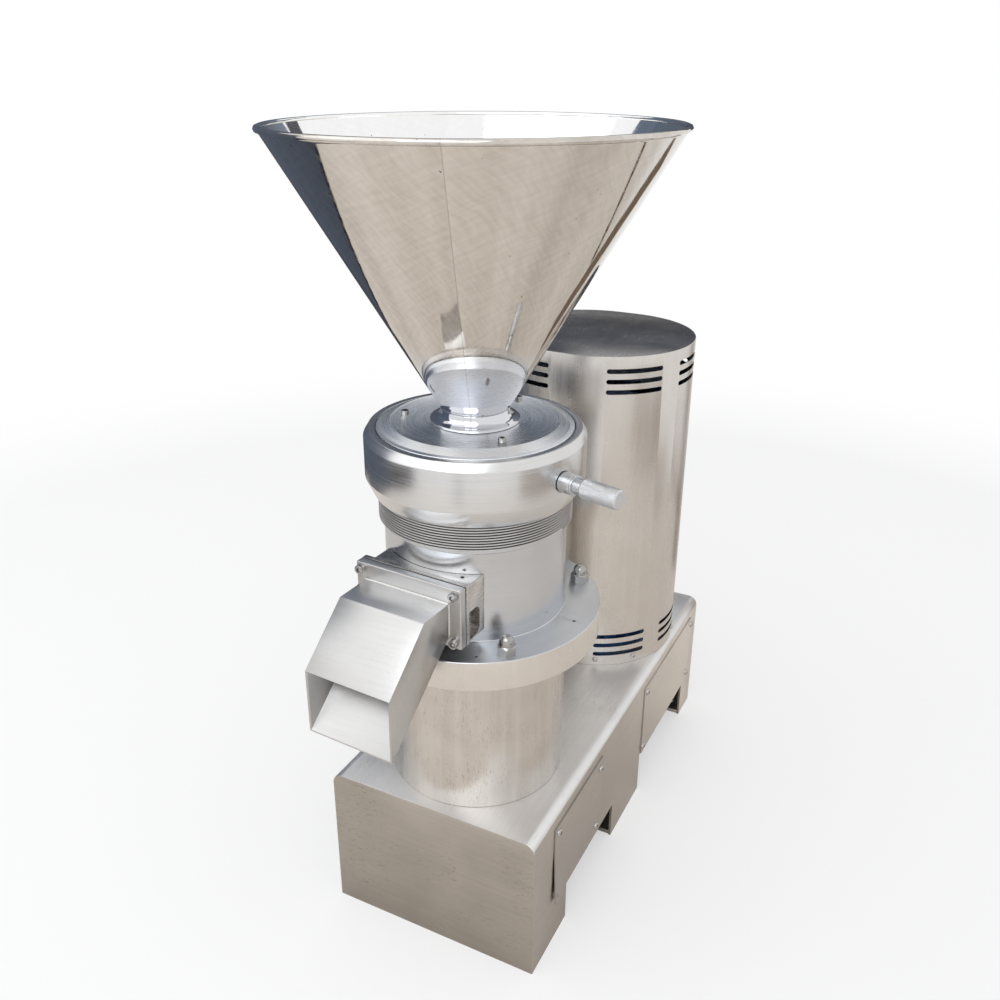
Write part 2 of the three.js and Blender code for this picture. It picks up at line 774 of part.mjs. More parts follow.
function outletBlock() {
  const left = blockOffset - blockWidth / 2;
  const right = blockOffset + blockWidth / 2;
  const flange = block([plateLeft, blockFront, plateBottom], [plateRight, blockFlangeBack, plateTop]);
  const body = block(
    [left, blockFlangeBack - sunk, plateBottom + blockInset],
    [right, -barrelRadius / 2, plateTop - blockInset],
  );
  const barrel = rod(barrelRadius + turningPlay, plateBottom - beyond, plateTop + beyond, widest);
  const screwDepth = plateFront + outletScrewLength + tipRoom;
  const screwHoles = outletHoles(outletScrewRadius + boltPlay, blockFront - beyond, screwDepth);
  return cut(join(flange, body), barrel, channel(blockFront - beyond, 0), pocket(right), ...screwHoles);
}

// The pocket behind the flange in the block's right face, open towards the flange and rounded at its rear.
function pocket(right) {
  const front = blockFlangeBack;
  const back = front + pocketLength;
  const low = plateBottom + blockInset + pocketSill;
  const high = low + pocketHeight;
  const outline = new THREE.Shape();
  outline.moveTo(front, low);
  outline.absarc(back - pocketRadius, low + pocketRadius, pocketRadius, -Math.PI / 2, 0);
  outline.absarc(back - pocketRadius, high - pocketRadius, pocketRadius, 0, Math.PI / 2);
  outline.lineTo(front, high);
  return drawAcross(outline, right - pocketDepth, right + beyond);
}
add('outlet_block', outletBlock(), turned, outlet);

function outletGasket() {
  const sheet = block([plateLeft, gasketFront, plateBottom], [plateRight, gasketBack, plateTop]);
  const holes = outletHoles(outletScrewRadius + boltPlay, gasketFront - beyond, gasketBack + beyond);
  return cut(sheet, channel(gasketFront - beyond, gasketBack + beyond), ...holes);
}
add('outlet_gasket', outletGasket(), rubber, outlet);

// Moves each edge of a polygon in by its own distance and returns the new corners.
function inset(points, distances) {
  const edges = points.map((point, i) => {
    const next = points[(i + 1) % points.length];
    const along = new THREE.Vector2(next[0] - point[0], next[1] - point[1]).normalize();
    const inward = new THREE.Vector2(-along.y, along.x).multiplyScalar(distances[i]);
    return { start: new THREE.Vector2(...point).add(inward), along };
  });
  return edges.map((edge, i) => {
    const before = edges[(i + edges.length - 1) % edges.length];
    const between = edge.start.clone().sub(before.start);
    const t = between.cross(edge.along) / before.along.cross(edge.along);
    const corner = before.start.clone().addScaledVector(before.along, t);
    return [corner.x, corner.y];
  });
}

function outletSpout() {
  const mouth = plateFront - ductMouthReach;
  const side = [
    [plateFront + sunk, ductBottom],
    [plateFront + sunk, ductTop],
    [plateFront - ductLedge, ductTop],
    [mouth, ductTop - ductMouthTop],
    [mouth, ductTop - ductMouthTop - ductMouthHeight],
  ];
  const left = ductOffset - ductWidth / 2;
  const right = ductOffset + ductWidth / 2;
  const past = -20; // carries the hollow out through both open ends
  const hollow = inset(side, [past, ductWall, ductWall, past, ductWall]);
  const flange = block([plateLeft, plateFront, plateBottom], [plateRight, plateBack, plateTop]);
  const duct = drawAcross(polygon(side), left, right);
  const inside = drawAcross(polygon(hollow), left + ductWall, right - ductWall);
  const holes = outletHoles(outletScrewRadius + boltPlay, plateFront - beyond, plateBack + beyond);
  return cut(join(flange, duct), inside, channel(plateFront - beyond, plateBack + beyond), ...holes);
}
add('outlet_spout', outletSpout(), brushed, outlet);

outletScrewPlaces.forEach(([x, z], i) => {
  const body = bolt(outletScrewRadius, outletScrewLength, outletScrewHeadRadius, outletScrewHeadHeight, medium)
    .rotate([90, 0, 0])
    .translate([x, plateFront, z]);
  add(`outlet_screw_${i + 1}`, body, fastener, outlet);
});

// Bearings and seals that stay with the housing

add('lower_bearing', collarRing(
  lowerBearingBore + running, lowerBearingRadius,
  hubBottom + running, hubBottom + lowerBearingHeight,
), fastener);
add('upper_bearing', collarRing(
  upperBearingBore + running, upperBearingRadius,
  upperBearingBottom + running, upperBearingBottom + upperBearingHeight,
), fastener);
add('oil_seal', collarRing(
  sealShaftRadius + running, sealSeatRadius - running,
  jointLevel + sealRise, jointLevel + sealRise + oilSealHeight,
), rubber);
add('mechanical_seal', collarRing(
  sealShaftRadius + running, sealSeatRadius - running,
  chamberFloor - mechanicalSealHeight, chamberFloor + sealRise,
), castIron);

// Mill shaft with the pieces that spin with it

const spindle = new THREE.Group();
model.add(spindle);

function millShaft() {
  const bearingShoulder = lowerBearingTop + running;
  return revolve([
    [0, shaftBottom],
    [shaftTailRadius, shaftBottom],
    [shaftTailRadius, hubBottom - journalRelief],
    [lowerBearingBore, hubBottom - journalRelief],
    [lowerBearingBore, bearingShoulder],
    [shaftShoulderRadius, bearingShoulder],
    [shaftShoulderRadius, upperBearingBottom - running],
    [upperBearingBore, upperBearingBottom - running],
    [upperBearingBore, jointLevel + sunk],
    [sealShaftRadius, jointLevel + sunk],
    [sealShaftRadius, chamberFloor + impellerFloorGap - running],
    [rotorSeatRadius, chamberFloor + impellerFloorGap - running],
    [rotorSeatRadius, rotorTop - rotorNip],
    [shaftTipRadius, rotorTop - rotorNip],
    [shaftTipRadius, rotorTop + shaftTipLength],
    [0, rotorTop + shaftTipLength],
  ], medium);
}
add('mill_shaft', millShaft(), fastener, spindle);

// A pulley with one V groove for each belt.
function pulley(radius, bore) {
  const top = beltTopWidth / 2 + running;
  const bottom = beltBottomWidth / 2 + running;
  const depth = beltSink + beltThickness;
  const slope = (top - bottom) / beltThickness;
  const mouth = top + slope * beltSink;
  const floor = bottom - slope * grooveExtraDepth;
  const rim = [];
  for (let i = 0; i < beltCount; i += 1) {
    const z = (i - (beltCount - 1) / 2) * beltPitch;
    rim.push([radius, z - mouth]);
    rim.push([radius - depth - grooveExtraDepth, z - floor]);
    rim.push([radius - depth - grooveExtraDepth, z + floor]);
    rim.push([radius, z + mouth]);
  }
  const half = pulleyWidth / 2;
  return revolve([[bore, -half], [radius, -half], ...rim, [radius, half], [bore, half]], large)
    .translate([0, 0, pulleyCentre]);
}
add('mill_pulley', pulley(millPulleyRadius, shaftTailRadius + running), castIron, spindle);

function dischargeImpeller() {
  const bottom = chamberFloor + impellerFloorGap;
  const top = rotorBottom - running;
  const tip = barrelBore - impellerWallGap;
  const hub = revolve([
    [rotorSeatRadius + running, bottom],
    [impellerHubRadius, bottom],
    [impellerHubRadius, top - impellerDiscThickness],
    [impellerDiscRadius, top - impellerDiscThickness],
    [impellerDiscRadius, top],
    [rotorSeatRadius + running, top],
  ], medium);
  const blades = Array.from({ length: impellerBlades }, (_, i) => {
    const blade = new THREE.Shape();
    const inner = (rotorSeatRadius + impellerHubRadius) / 2;
    const outer = Math.sqrt(tip ** 2 - (impellerBladeSweep + impellerBladeThickness) ** 2);
    const half = impellerBladeThickness / 2;
    blade.moveTo(inner, -half);
    blade.quadraticCurveTo(impellerBladeBend, -half, outer, impellerBladeSweep);
    blade.lineTo(outer - impellerBladeTaper, impellerBladeSweep + impellerBladeThickness);
    blade.quadraticCurveTo(impellerBladeBend - half, half, inner, half);
    return raise(blade, bottom, top - impellerDiscThickness / 2, 3).rotate([0, 0, (360 / impellerBlades) * i]);
  });
  return join(hub, ...blades);
}
add('discharge_impeller', dischargeImpeller(), turned, spindle);

// Points of a toothed cone between two levels: each tooth rises square from its root and leans with height.
function toothRing(teeth, root, tip, turn) {
  const step = (2 * Math.PI) / teeth;
  const radii = [root, root, tip, tip];
  return Array.from({ length: teeth }, (_, i) => toothEdges.map((share, k) => {
    const radius = radii[k];
    const angle = (i + share) * step + turn;
    return [radius * Math.cos(angle), radius * Math.sin(angle)];
  })).flat();
}

// A solid between stacked rings of points, closed by flat ends.
function stack(rings) {
  const count = rings[0].points.length;
  const position = rings.flatMap(({ points, z }) => points.flatMap(([x, y]) => [x, y, z]));
  const index = [];
  for (let k = 0; k + 1 < rings.length; k += 1) {
    for (let i = 0; i < count; i += 1) {
      const [a, b] = [k * count + i, k * count + ((i + 1) % count)];
      index.push(a, b, b + count, a, b + count, a + count);
    }
  }
  const ends = [{ at: 0, flip: true }, { at: rings.length - 1, flip: false }];
  for (const { at, flip } of ends) {
    const outline = rings[at].points.map(([x, y]) => new THREE.Vector2(x, y));
    for (const face of THREE.ShapeUtils.triangulateShape(outline, [])) {
      const [a, b, c] = face.map((i) => at * count + i);
      index.push(...(flip ? [a, c, b] : [a, b, c]));
    }
  }
  const geometry = new THREE.BufferGeometry();
  geometry.setAttribute('position', new THREE.Float32BufferAttribute(position, 3));
  geometry.setIndex(index);
  return solid(geometry);
}

const coneSlope = (rotorBottomRadius - rotorTopRadius) / rotorHeight;
const coneRadius = (z) => rotorBottomRadius - coneSlope * (z - rotorBottom);

function toothedCone(teeth, radiusAt, depth, bottom, top, lean) {
  return stack(Array.from({ length: toothLevels }, (_, i) => {
    const z = bottom + ((top - bottom) * i) / (toothLevels - 1);
    const turn = (radians(lean) * (z - rotorBottom)) / rotorHeight;
    return { z, points: toothRing(teeth, radiusAt(z) - depth, radiusAt(z), turn) };
  }));
}

function grindingRotor() {
  const body = toothedCone(rotorTeeth, coneRadius, toothDepth, rotorBottom, rotorTop, toothTwist);
  return cut(body, rod(rotorSeatRadius + running, rotorBottom - beyond, rotorTop + beyond));
}
add('grinding_rotor', grindingRotor(), turned, spindle);

function feedImpeller() {
  const bottom = rotorTop + running;
  const top = bottom + feedImpellerHeight;
  const hub = revolve([
    [0, bottom],
    [feedHubRadius, bottom],
    [feedHubShoulder[0], top - feedHubShoulder[1]],
    [feedHubTip, top],
    [0, top],
  ], medium);
  const reach = neckBore - feedTipGap;
  const vanes = Array.from({ length: feedVanes }, (_, i) =>
    block([0, -feedVaneThickness / 2, bottom], [reach, feedVaneThickness / 2, top - feedVaneDrop])
      .rotate([0, 0, (360 / feedVanes) * i]));
  const bore = rod(shaftTipRadius + running, bottom - beyond, rotorTop + shaftTipLength + running);
  return cut(join(hub, ...vanes), bore);
}
add('feed_impeller', feedImpeller(), turned, spindle);

// Stator cover, retaining ring and stator, which slide up and down together

const carrier = new THREE.Group();
model.add(carrier);
const statorScrewPlaces = Array.from({ length: statorScrewCount }, (_, i) =>
  onCircle(statorScrewCircle, firstStatorScrewAngle + (360 / statorScrewCount) * i));
const pinHoles = (bottom, top) => guidePinPlaces.map(([x, y]) =>
  drill(guidePinRadius + boltPlay, bottom, top).translate([x, y, 0]));

function statorCover() {
  const rimBottom = ringTop - coverRimThickness;
  const body = revolve([
    [throatRadius, coverBottom],
    [hubRadius, coverBottom],
    [hubRadius, retainerTop],
    [ledgeRadius - turningPlay, retainerTop],
    [ledgeRadius - turningPlay, rimBottom],
    [coverRimRadius, rimBottom],
    [coverRimRadius, ringTop + coverStep],
    [bevelOuterRadius, ringTop + coverStep],
    [bevelInnerRadius, coverTop],
    [throatRadius, coverTop],
  ], widest);
  const screwHoles = statorScrewPlaces.map(([x, y]) =>
    drill(statorScrewRadius + boltPlay, coverBottom - beyond, coverTop + beyond).translate([x, y, 0]));
  return cut(body, ...screwHoles, ...pinHoles(retainerTop - beyond, barrelTop + guidePinLength + tipRoom));
}
add('stator_cover', statorCover(), turned, carrier);

function retainingRing() {
  const body = collarRing(hubRadius + turningPlay, retainerRadius, retainerBottom, retainerTop, widest);
  return cut(body, ...pinHoles(retainerBottom - beyond, retainerTop + beyond));
}
add('retaining_ring', retainingRing(), turned, carrier);

function grindingStator() {
  const top = coverBottom;
  const shell = rod(statorRadius, statorBottom, top, large);
  const boreAt = (z) => coneRadius(z) + millingGap + toothDepth;
  const bore = toothedCone(statorTeeth, boreAt, toothDepth, statorBottom - beyond, top + beyond, -toothTwist);
  const screwHoles = statorScrewPlaces.map(([x, y]) =>
    drill(statorScrewRadius + running, top - statorScrewDepth - tipRoom, top + beyond).translate([x, y, 0]));
  return cut(shell, bore, ...screwHoles);
}
add('grinding_stator', grindingStator(), turned, carrier);

statorScrewPlaces.forEach(([x, y], i) => {
  const length = coverTop - coverBottom + statorScrewDepth;
  const body = bolt(statorScrewRadius, length, statorScrewHeadRadius, statorScrewHeadHeight, medium);
  add(`stator_screw_${i + 1}`, body.translate([x, y, coverTop]), fastener, carrier);
});

// Hopper: a spun cone on a flared neck that plugs into the cover

const neckTop = coverTop + neckHeight;

function hopperNeck() {
  const flangeEdge = coverTop + neckFlangeThickness;
  const foot = hopperFootRadius + neckLip;
  const spread = neckFlangeRadius - neckFlatEdge - foot;
  const rise = neckTop - flangeEdge;
  const curve = Array.from({ length: neckFlareSteps }, (_, i) => {
    const angle = (Math.PI / 2) * (i / (neckFlareSteps - 1));
    return [foot + spread * (1 - Math.sin(angle)), flangeEdge + rise * (1 - Math.cos(angle))];
  });
  return revolve([
    [neckBore, coverTop - neckSpigotDepth],
    [throatRadius - running, coverTop - neckSpigotDepth],
    [throatRadius - running, coverTop],
    [neckFlangeRadius, coverTop],
    [neckFlangeRadius, flangeEdge],
    ...curve,
    [neckBore, neckTop],
  ], large);
}
const hopper = new THREE.Group();
model.add(hopper);
add('hopper_neck', hopperNeck(), polished, hopper);

function hopperCone() {
  const rimLevel = neckTop + hopperRise;
  const inner = hopperMouthRadius - hopperWall;
  const beadCentre = [hopperMouthRadius + rimBeadRadius - hopperWall, rimLevel];
  const bead = rimBeadCorners.map((angle) => {
    const [r, z] = onCircle(rimBeadRadius, angle);
    return [beadCentre[0] + r, beadCentre[1] + z];
  });
  return revolve([
    [hopperFootRadius - hopperWall, neckTop],
    [hopperFootRadius, neckTop],
    [hopperMouthRadius, rimLevel - rimBeadRadius],
    ...bead,
    [inner, rimLevel],
  ], widest);
}
add('hopper_cone', hopperCone(), polished, hopper);

// Adjusting ring and its lock handle

const ringGroup = new THREE.Group();
model.add(ringGroup);
const lockLevel = ringBottom + handleHeight;

// Lays a turned piece, drawn about +Z, along the handle's direction with its start at a radius.
function alongHandle(body, radius) {
  const [x, y] = onCircle(radius, handleAngle);
  return body.rotate([0, 90, 0]).rotate([0, 0, handleAngle]).translate([x, y, lockLevel]);
}

function adjustingRing() {
  const bore = threadRadius + turningPlay;
  const body = revolve([
    [bore, ringBottom],
    [ringFootRadius, ringBottom],
    [ringRadius, ringBottom + ringFootHeight],
    [ringRadius, ringTop - ringChamferHeight],
    [ringRadius - ringChamferWidth, ringTop],
    [coverRimRadius + turningPlay, ringTop],
    [coverRimRadius + turningPlay, ledgeTop],
    [ledgeRadius, ledgeTop],
    [ledgeRadius, ledgeBottom],
    [bore, ledgeBottom],
  ], widest);
  const hole = drill(lockStudRadius + running, 0, ringRadius, medium);
  const spotFace = rod(spotFaceRadius, 0, spotFaceDepth + beyond);
  return cut(body, alongHandle(hole, threadRadius - beyond), alongHandle(spotFace, ringRadius - spotFaceDepth));
}
add('adjusting_ring', adjustingRing(), turned, ringGroup);

const padStart = threadRadius + running;
const studStart = padStart + lockPadLength + running;
const collarStart = ringRadius - spotFaceDepth + running;
const gripStart = collarStart + collarLength + handleNeckLength;

const pad = rod(lockStudRadius - padSlack, 0, lockPadLength, small);
add('lock_pad', alongHandle(pad, padStart), brass, ringGroup);

function lockStud() {
  const from = (radius) => radius - studStart;
  const studEnd = gripStart + gripBoreDepth - studEndRoom;
  return revolve([
    [0, 0],
    [lockStudRadius, 0],
    [lockStudRadius, from(collarStart)],
    [collarRadius, from(collarStart)],
    [collarRadius, from(collarStart + collarLength)],
    [handleNeckRadius, from(collarStart + collarLength)],
    [handleNeckRadius, from(gripStart - running)],
    [lockStudRadius, from(gripStart - running)],
    [lockStudRadius, from(studEnd)],
    [0, from(studEnd)],
  ], medium);
}
add('lock_stud', alongHandle(lockStud(), studStart), polished, ringGroup);

function lockGrip() {
  const bore = lockStudRadius + running;
  return revolve([
    [bore, 0],
    [gripRadius - gripChamfer, 0],
    [gripRadius, gripChamfer],
    [gripRadius, gripLength - gripChamfer],
    [gripRadius - gripChamfer, gripLength],
    [0, gripLength],
    [0, gripBoreDepth],
    [bore, gripBoreDepth],
  ], medium);
}
add('lock_grip', alongHandle(lockGrip(), gripStart), fastener, ringGroup);

// Motor, standing on the base with its shaft down, and the belts to the mill

const motor = new THREE.Group();
motor.position.y = centreDistance;
model.add(motor);
const flangeLevel = baseHeight + motorFlangeThickness;

function motorFlange() {
  const body = collarRing(motorJournalRadius + running, motorFlangeRadius, baseHeight, flangeLevel);
  const hole = drill(motorBoltRadius + running, baseHeight - beyond, flangeLevel - motorBoltRoof + sunk);
  return cut(body, ...motorBoltPlaces.map(([x, y]) => hole.translate([x, y, 0])));
}
add('motor_flange', motorFlange(), paint, motor);

motorBoltPlaces.forEach(([x, y], i) => {
  const length = mountingPlateThickness + baseWall + motorFlangeThickness - motorBoltRoof;
  const body = bolt(motorBoltRadius, length, motorBoltHeadRadius, motorBoltHeadHeight, tiny)
    .rotate([180, 0, 0])
    .translate([x, y, mountingPlateBottom]);
  add(`motor_bolt_${i + 1}`, body, fastener, motor);
});

function motorBody() {
  const fin = (2 * Math.PI) / motorFins;
  const [rootEnd, crestStart, crestEnd] = motorFinEdges;
  const crest = motorBodyRadius + motorFinHeight;
  const corners = [[motorBodyRadius, 0], [motorBodyRadius, rootEnd], [crest, crestStart], [crest, crestEnd]];
  const outline = Array.from({ length: motorFins }, (_, i) => corners.map(([radius, share]) => {
    const angle = (i + share) * fin;
    return [radius * Math.cos(angle), radius * Math.sin(angle)];
  })).flat();
  const body = raise(polygon(outline), flangeLevel, motorTop);
  const pad = block(
    [-terminalFace, -terminalPad[1] / 2, terminalLevel - terminalPad[2] / 2],
    [-(motorBoreRadius + motorBodyRadius) / 2, terminalPad[1] / 2, terminalLevel + terminalPad[2] / 2],
  );
  return cut(join(body, pad), rod(motorBoreRadius, flangeLevel - beyond, motorTop + beyond, large));
}
const terminalFace = motorBodyRadius + terminalPad[0];
const terminalLevel = flangeLevel + terminalRise;
add('motor_body', motorBody(), paint, motor);
add('terminal_box', block(
  [-terminalFace - terminalBox[0], -terminalBox[1] / 2, terminalLevel - terminalBox[2] / 2],
  [-terminalFace, terminalBox[1] / 2, terminalLevel + terminalBox[2] / 2],
), paint, motor);
const endShield = collarRing(motorJournalRadius + running, motorBodyRadius, motorTop, shieldTop);
add('motor_end_shield', endShield, paint, motor);

function fanCowl() {
  const bottom = shieldTop - cowlLap;
  const top = bottom + cowlHeight;
  const inner = cowlRadius - cowlWall;
  const shell = revolve([
    [inner, bottom],
    [cowlRadius, bottom],
    [cowlRadius, top],
    [cowlInletRadius, top],
    [cowlInletRadius, top - cowlWall],
    [inner, top - cowlWall],
  ], large);
  const [width, height] = cowlLug;
  const lug = block(
    [motorBodyRadius + running, -width / 2, bottom],
    [cowlRadius - cowlWall / 2, width / 2, bottom + height],
  );
  return join(shell, ...cowlLugAngles.map((angle) => lug.rotate([0, 0, angle])));
}
add('fan_cowl', fanCowl(), paint, motor);

const fanBottom = shieldTop + fanGap;

function motorShaft() {
  const coreMiddle = (flangeLevel + motorTop) / 2;
  const coreBottom = coreMiddle - motorCoreHeight / 2;
  const coreTop = coreMiddle + motorCoreHeight / 2;
  return revolve([
    [0, shaftBottom],
    [motorShaftRadius, shaftBottom],
    [motorShaftRadius, baseHeight - journalRelief],
    [motorJournalRadius, baseHeight - journalRelief],
    [motorJournalRadius, coreBottom],
    [motorCoreRadius, coreBottom],
    [motorCoreRadius, coreTop],
    [motorJournalRadius, coreTop],
    [motorJournalRadius, shieldTop + journalRelief],
    [motorShaftRadius, shieldTop + journalRelief],
    [motorShaftRadius, fanBottom + fanHeight],
    [0, fanBottom + fanHeight],
  ], medium);
}
add('motor_shaft', motorShaft(), fastener, motor);
add('motor_pulley', pulley(motorPulleyRadius, motorShaftRadius + running), castIron, motor);

function coolingFan() {
  const hub = collarRing(motorShaftRadius + running, fanHubRadius, fanBottom, fanBottom + fanHeight, medium);
  const blade = block(
    [motorShaftRadius + beyond, -fanBladeThickness / 2, fanBottom],
    [fanRadius, fanBladeThickness / 2, fanBottom + fanHeight],
  );
  const blades = Array.from({ length: fanBlades }, (_, i) => blade.rotate([0, 0, (360 / fanBlades) * i]));
  const bore = rod(motorShaftRadius + running, fanBottom - beyond, fanBottom + fanHeight + beyond);
  return cut(join(hub, ...blades), bore);
}
add('cooling_fan', coolingFan(), plastic, motor);

const beltArcPoints = 12;

// Centre line of a belt: the two round ends and the straight runs between the pulleys, at one height.
function beltPath(millRadius, motorRadius) {
  const lean = Math.asin((motorRadius - millRadius) / centreDistance);
  const arc = (radius, centre, from, to) => Array.from({ length: beltArcPoints }, (_, i) => {
    const angle = from + ((to - from) * i) / (beltArcPoints - 1);
    const out = [Math.cos(angle), Math.sin(angle)];
    return { point: [radius * out[0], centre + radius * out[1]], out };
  });
  return [
    ...arc(motorRadius, centreDistance, -lean, Math.PI + lean),
    ...arc(millRadius, 0, Math.PI + lean, 2 * Math.PI - lean),
  ];
}

function vBelt(level) {
  const path = beltPath(millPulleyRadius - beltSink, motorPulleyRadius - beltSink);
  const section = [
    [0, beltTopWidth / 2],
    [-beltThickness, beltBottomWidth / 2],
    [-beltThickness, -beltBottomWidth / 2],
    [0, -beltTopWidth / 2],
  ];
  const position = path.flatMap(({ point, out }) => section.flatMap(([depth, height]) =>
    [point[0] + out[0] * depth, point[1] + out[1] * depth, level + height]));
  const index = [];
  const count = section.length;
  path.forEach((_, k) => {
    const next = (k + 1) % path.length;
    for (let i = 0; i < count; i += 1) {
      const j = (i + 1) % count;
      index.push(k * count + i, next * count + i, next * count + j);
      index.push(k * count + i, next * count + j, k * count + j);
    }
  });
  const geometry = new THREE.BufferGeometry();
  geometry.setAttribute('position', new THREE.Float32BufferAttribute(position, 3));
  geometry.setIndex(index);
  return solid(geometry);
}
for (let i = 0; i < beltCount; i += 1) {
  add(`v_belt_${i + 1}`, vBelt(pulleyCentre + (i - (beltCount - 1) / 2) * beltPitch), rubber);
}

// Motor cover: a stadium-shaped sheet shell with slots near its top and foot, screwed to lugs on the base

function stadium(radius) {
  const outline = new THREE.Shape();
  outline.absarc(coverArcOffset, 0, radius, -Math.PI / 2, Math.PI / 2);
  outline.absarc(-coverArcOffset, 0, radius, Math.PI / 2, (3 * Math.PI) / 2);
  return outline;
}
const arcSteps = 7;
const outlineLength = 2 * Math.PI * coverArcRadius + 4 * coverArcOffset;

// A place on the cover's outline, at a distance to the right of the middle of its front, with its outward angle.
function onCover(distance) {
  const straight = coverArcOffset;
  const round = Math.PI * coverArcRadius;
  const s = ((distance % outlineLength) + outlineLength) % outlineLength;
  if (s <= straight) return { x: s, y: -coverArcRadius, angle: -90 };
  if (s <= straight + round) return roundPlace(coverArcOffset, -90 + ((s - straight) / round) * 180);
  if (s <= 3 * straight + round) return { x: 2 * straight + round - s, y: coverArcRadius, angle: 90 };
  if (s <= 3 * straight + 2 * round) {
    return roundPlace(-coverArcOffset, 90 + ((s - 3 * straight - round) / round) * 180);
  }
  return { x: s - outlineLength, y: -coverArcRadius, angle: -90 };
}

function roundPlace(centre, angle) {
  const [x, y] = onCircle(coverArcRadius, angle);
  return { x: centre + x, y, angle };
}

const slotLevels = [
  ...Array.from({ length: slotRows }, (_, i) => motorCoverTop - upperSlotDrop - slotPitch * i),
  ...Array.from({ length: slotRows }, (_, i) => baseHeight + lowerSlotRise + slotPitch * i),
];

// The slots: thin stadium bands cut to each group's length.
function slotCutters() {
  const wide = stadium(coverArcRadius + slotCut);
  wide.holes.push(stadium(coverArcRadius - slotCut));
  const bands = join(...slotLevels.map((z) => raise(wide, z - slotHeight / 2, z + slotHeight / 2, arcSteps)));
  const starts = Array.from({ length: slotGroups }, (_, i) => firstSlotStart + slotGroupPitch * i);
  const wedges = starts.map((start) => {
    const stations = [0, 0.5, 1].map((share) => onCover(start + slotLength * share));
    const side = (reach) => stations.map(({ x, y, angle }) => {
      const [dx, dy] = onCircle(reach, angle);
      return [x + dx, y + dy];
    });
    return raise(polygon([...side(2 * slotCut), ...side(-2 * slotCut).reverse()]), baseHeight, motorCoverTop);
  });
  return bands.intersect(join(...wedges));
}

function motorCover() {
  const foot = baseHeight - baseEdgeRadius;
  const inner = stadium(coverArcRadius - coverWall);
  const shell = raise(stadium(coverArcRadius), foot, motorCoverTop, arcSteps);
  const hollow = raise(inner, foot - beyond, motorCoverTop - coverWall, arcSteps);
  const deck = drawBack(baseOutline(-running), baseFront - centreDistance, baseRear - centreDistance);
  const head = rod(coverScrewHeadRadius, -coverWall / 2, coverScrewHeadHeight, small).rotate([0, 90, 0]);
  const screws = atCoverScrews(head.translate([coverArcRadius, 0, baseHeight + coverScrewRise]));
  return join(cut(shell, hollow, deck, slotCutters()), ...screws);
}
add('motor_cover', motorCover(), brushed, motor);

// Cable gland in the rear plate

function cableGland() {
  const body = join(
    rod(glandRadius, 0, glandHexHeight, tiny),
    rod(glandDomeRadius, 0, glandLength),
    rod(glandStem, -glandStemLength, sunk, small),
  );
  const bore = drill(glandBore, -glandStemLength - beyond, glandLength + beyond);
  return cut(body, bore).rotate([-90, 0, 0]).translate([0, baseRear, glandRise]);
}
add('cable_gland', cableGland(), plastic);

// The model stands on z = 0 with the middle of its bounding box over the origin.
machine.updateMatrixWorld(true);
const middle = new THREE.Box3().setFromObject(machine, true).getCenter(new THREE.Vector3());
model.position.set(-middle.x, -middle.y, 0);

export default machine;
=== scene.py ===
# %% [markdown]
# # A nut-butter mill in stainless steel
# The real machine is a steel base box with a mill at its front and a motor under a slotted cover
# behind it. Nearly everything that shows is stainless steel, so this lesson is about two things: turned
# and folded shapes with the right small edges, and several finishes of one metal.
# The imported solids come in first, as a frame that is never moved. The new pieces replace or dress them.

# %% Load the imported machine
import math

import bmesh
import bpy
from mathutils import Matrix, Vector


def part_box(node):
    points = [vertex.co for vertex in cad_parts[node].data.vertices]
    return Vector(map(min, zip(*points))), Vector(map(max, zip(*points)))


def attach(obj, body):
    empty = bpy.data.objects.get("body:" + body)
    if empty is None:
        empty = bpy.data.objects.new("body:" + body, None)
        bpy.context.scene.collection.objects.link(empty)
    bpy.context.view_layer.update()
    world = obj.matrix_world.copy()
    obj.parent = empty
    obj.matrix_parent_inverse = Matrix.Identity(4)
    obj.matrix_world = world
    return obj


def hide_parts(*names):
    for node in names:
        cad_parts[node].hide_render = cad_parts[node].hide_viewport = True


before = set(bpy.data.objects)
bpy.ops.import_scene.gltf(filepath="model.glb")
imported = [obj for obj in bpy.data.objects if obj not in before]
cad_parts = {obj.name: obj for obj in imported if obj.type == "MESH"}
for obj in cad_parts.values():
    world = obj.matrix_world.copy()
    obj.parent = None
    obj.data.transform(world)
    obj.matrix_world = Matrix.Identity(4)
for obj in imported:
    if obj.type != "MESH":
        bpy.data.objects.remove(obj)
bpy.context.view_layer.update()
scene = bpy.context.scene

# %% [markdown]
# The drawing of the machine is in millimetres from the mill's upright axis, and Blender's scene is in
# metres. One scale and one shift join the two. The axes are read from the shafts of the frame, so the
# pieces stay with the frame if it is packed again.

# %% Millimetres about the mill's axis
MM = 0.001


def middle(node):
    """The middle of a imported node, in metres."""
    low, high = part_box(node)
    return (low + high) / 2


mill_y = middle("mill_shaft").y
motor_back = (middle("motor_shaft").y - mill_y) / MM


def point(x, y, z):
    """A place in the scene from millimetres about the mill's axis."""
    return Vector((x * MM, mill_y + y * MM, z * MM))


print("mill's axis at y", round(mill_y, 4), "m, motor", round(motor_back, 1), "mm behind it")

# %% Shapes that become objects
def moved(bm, by=(0, 0, 0), turn=0.0, axis="Z"):
    """Turns a shape about an axis through the origin, by degrees, and then shifts it."""
    if turn:
        bmesh.ops.rotate(bm, verts=bm.verts, matrix=Matrix.Rotation(math.radians(turn), 3, axis))
    bmesh.ops.translate(bm, verts=bm.verts, vec=by)
    return bm


def flat_sheet(width, height, across=1, up=1):
    """A level sheet about the origin, of so many cells each way."""
    bm = bmesh.new()
    bmesh.ops.create_grid(bm, x_segments=across, y_segments=up, size=0.5)
    bmesh.ops.scale(bm, verts=bm.verts, vec=(width, height, 1))
    return bm


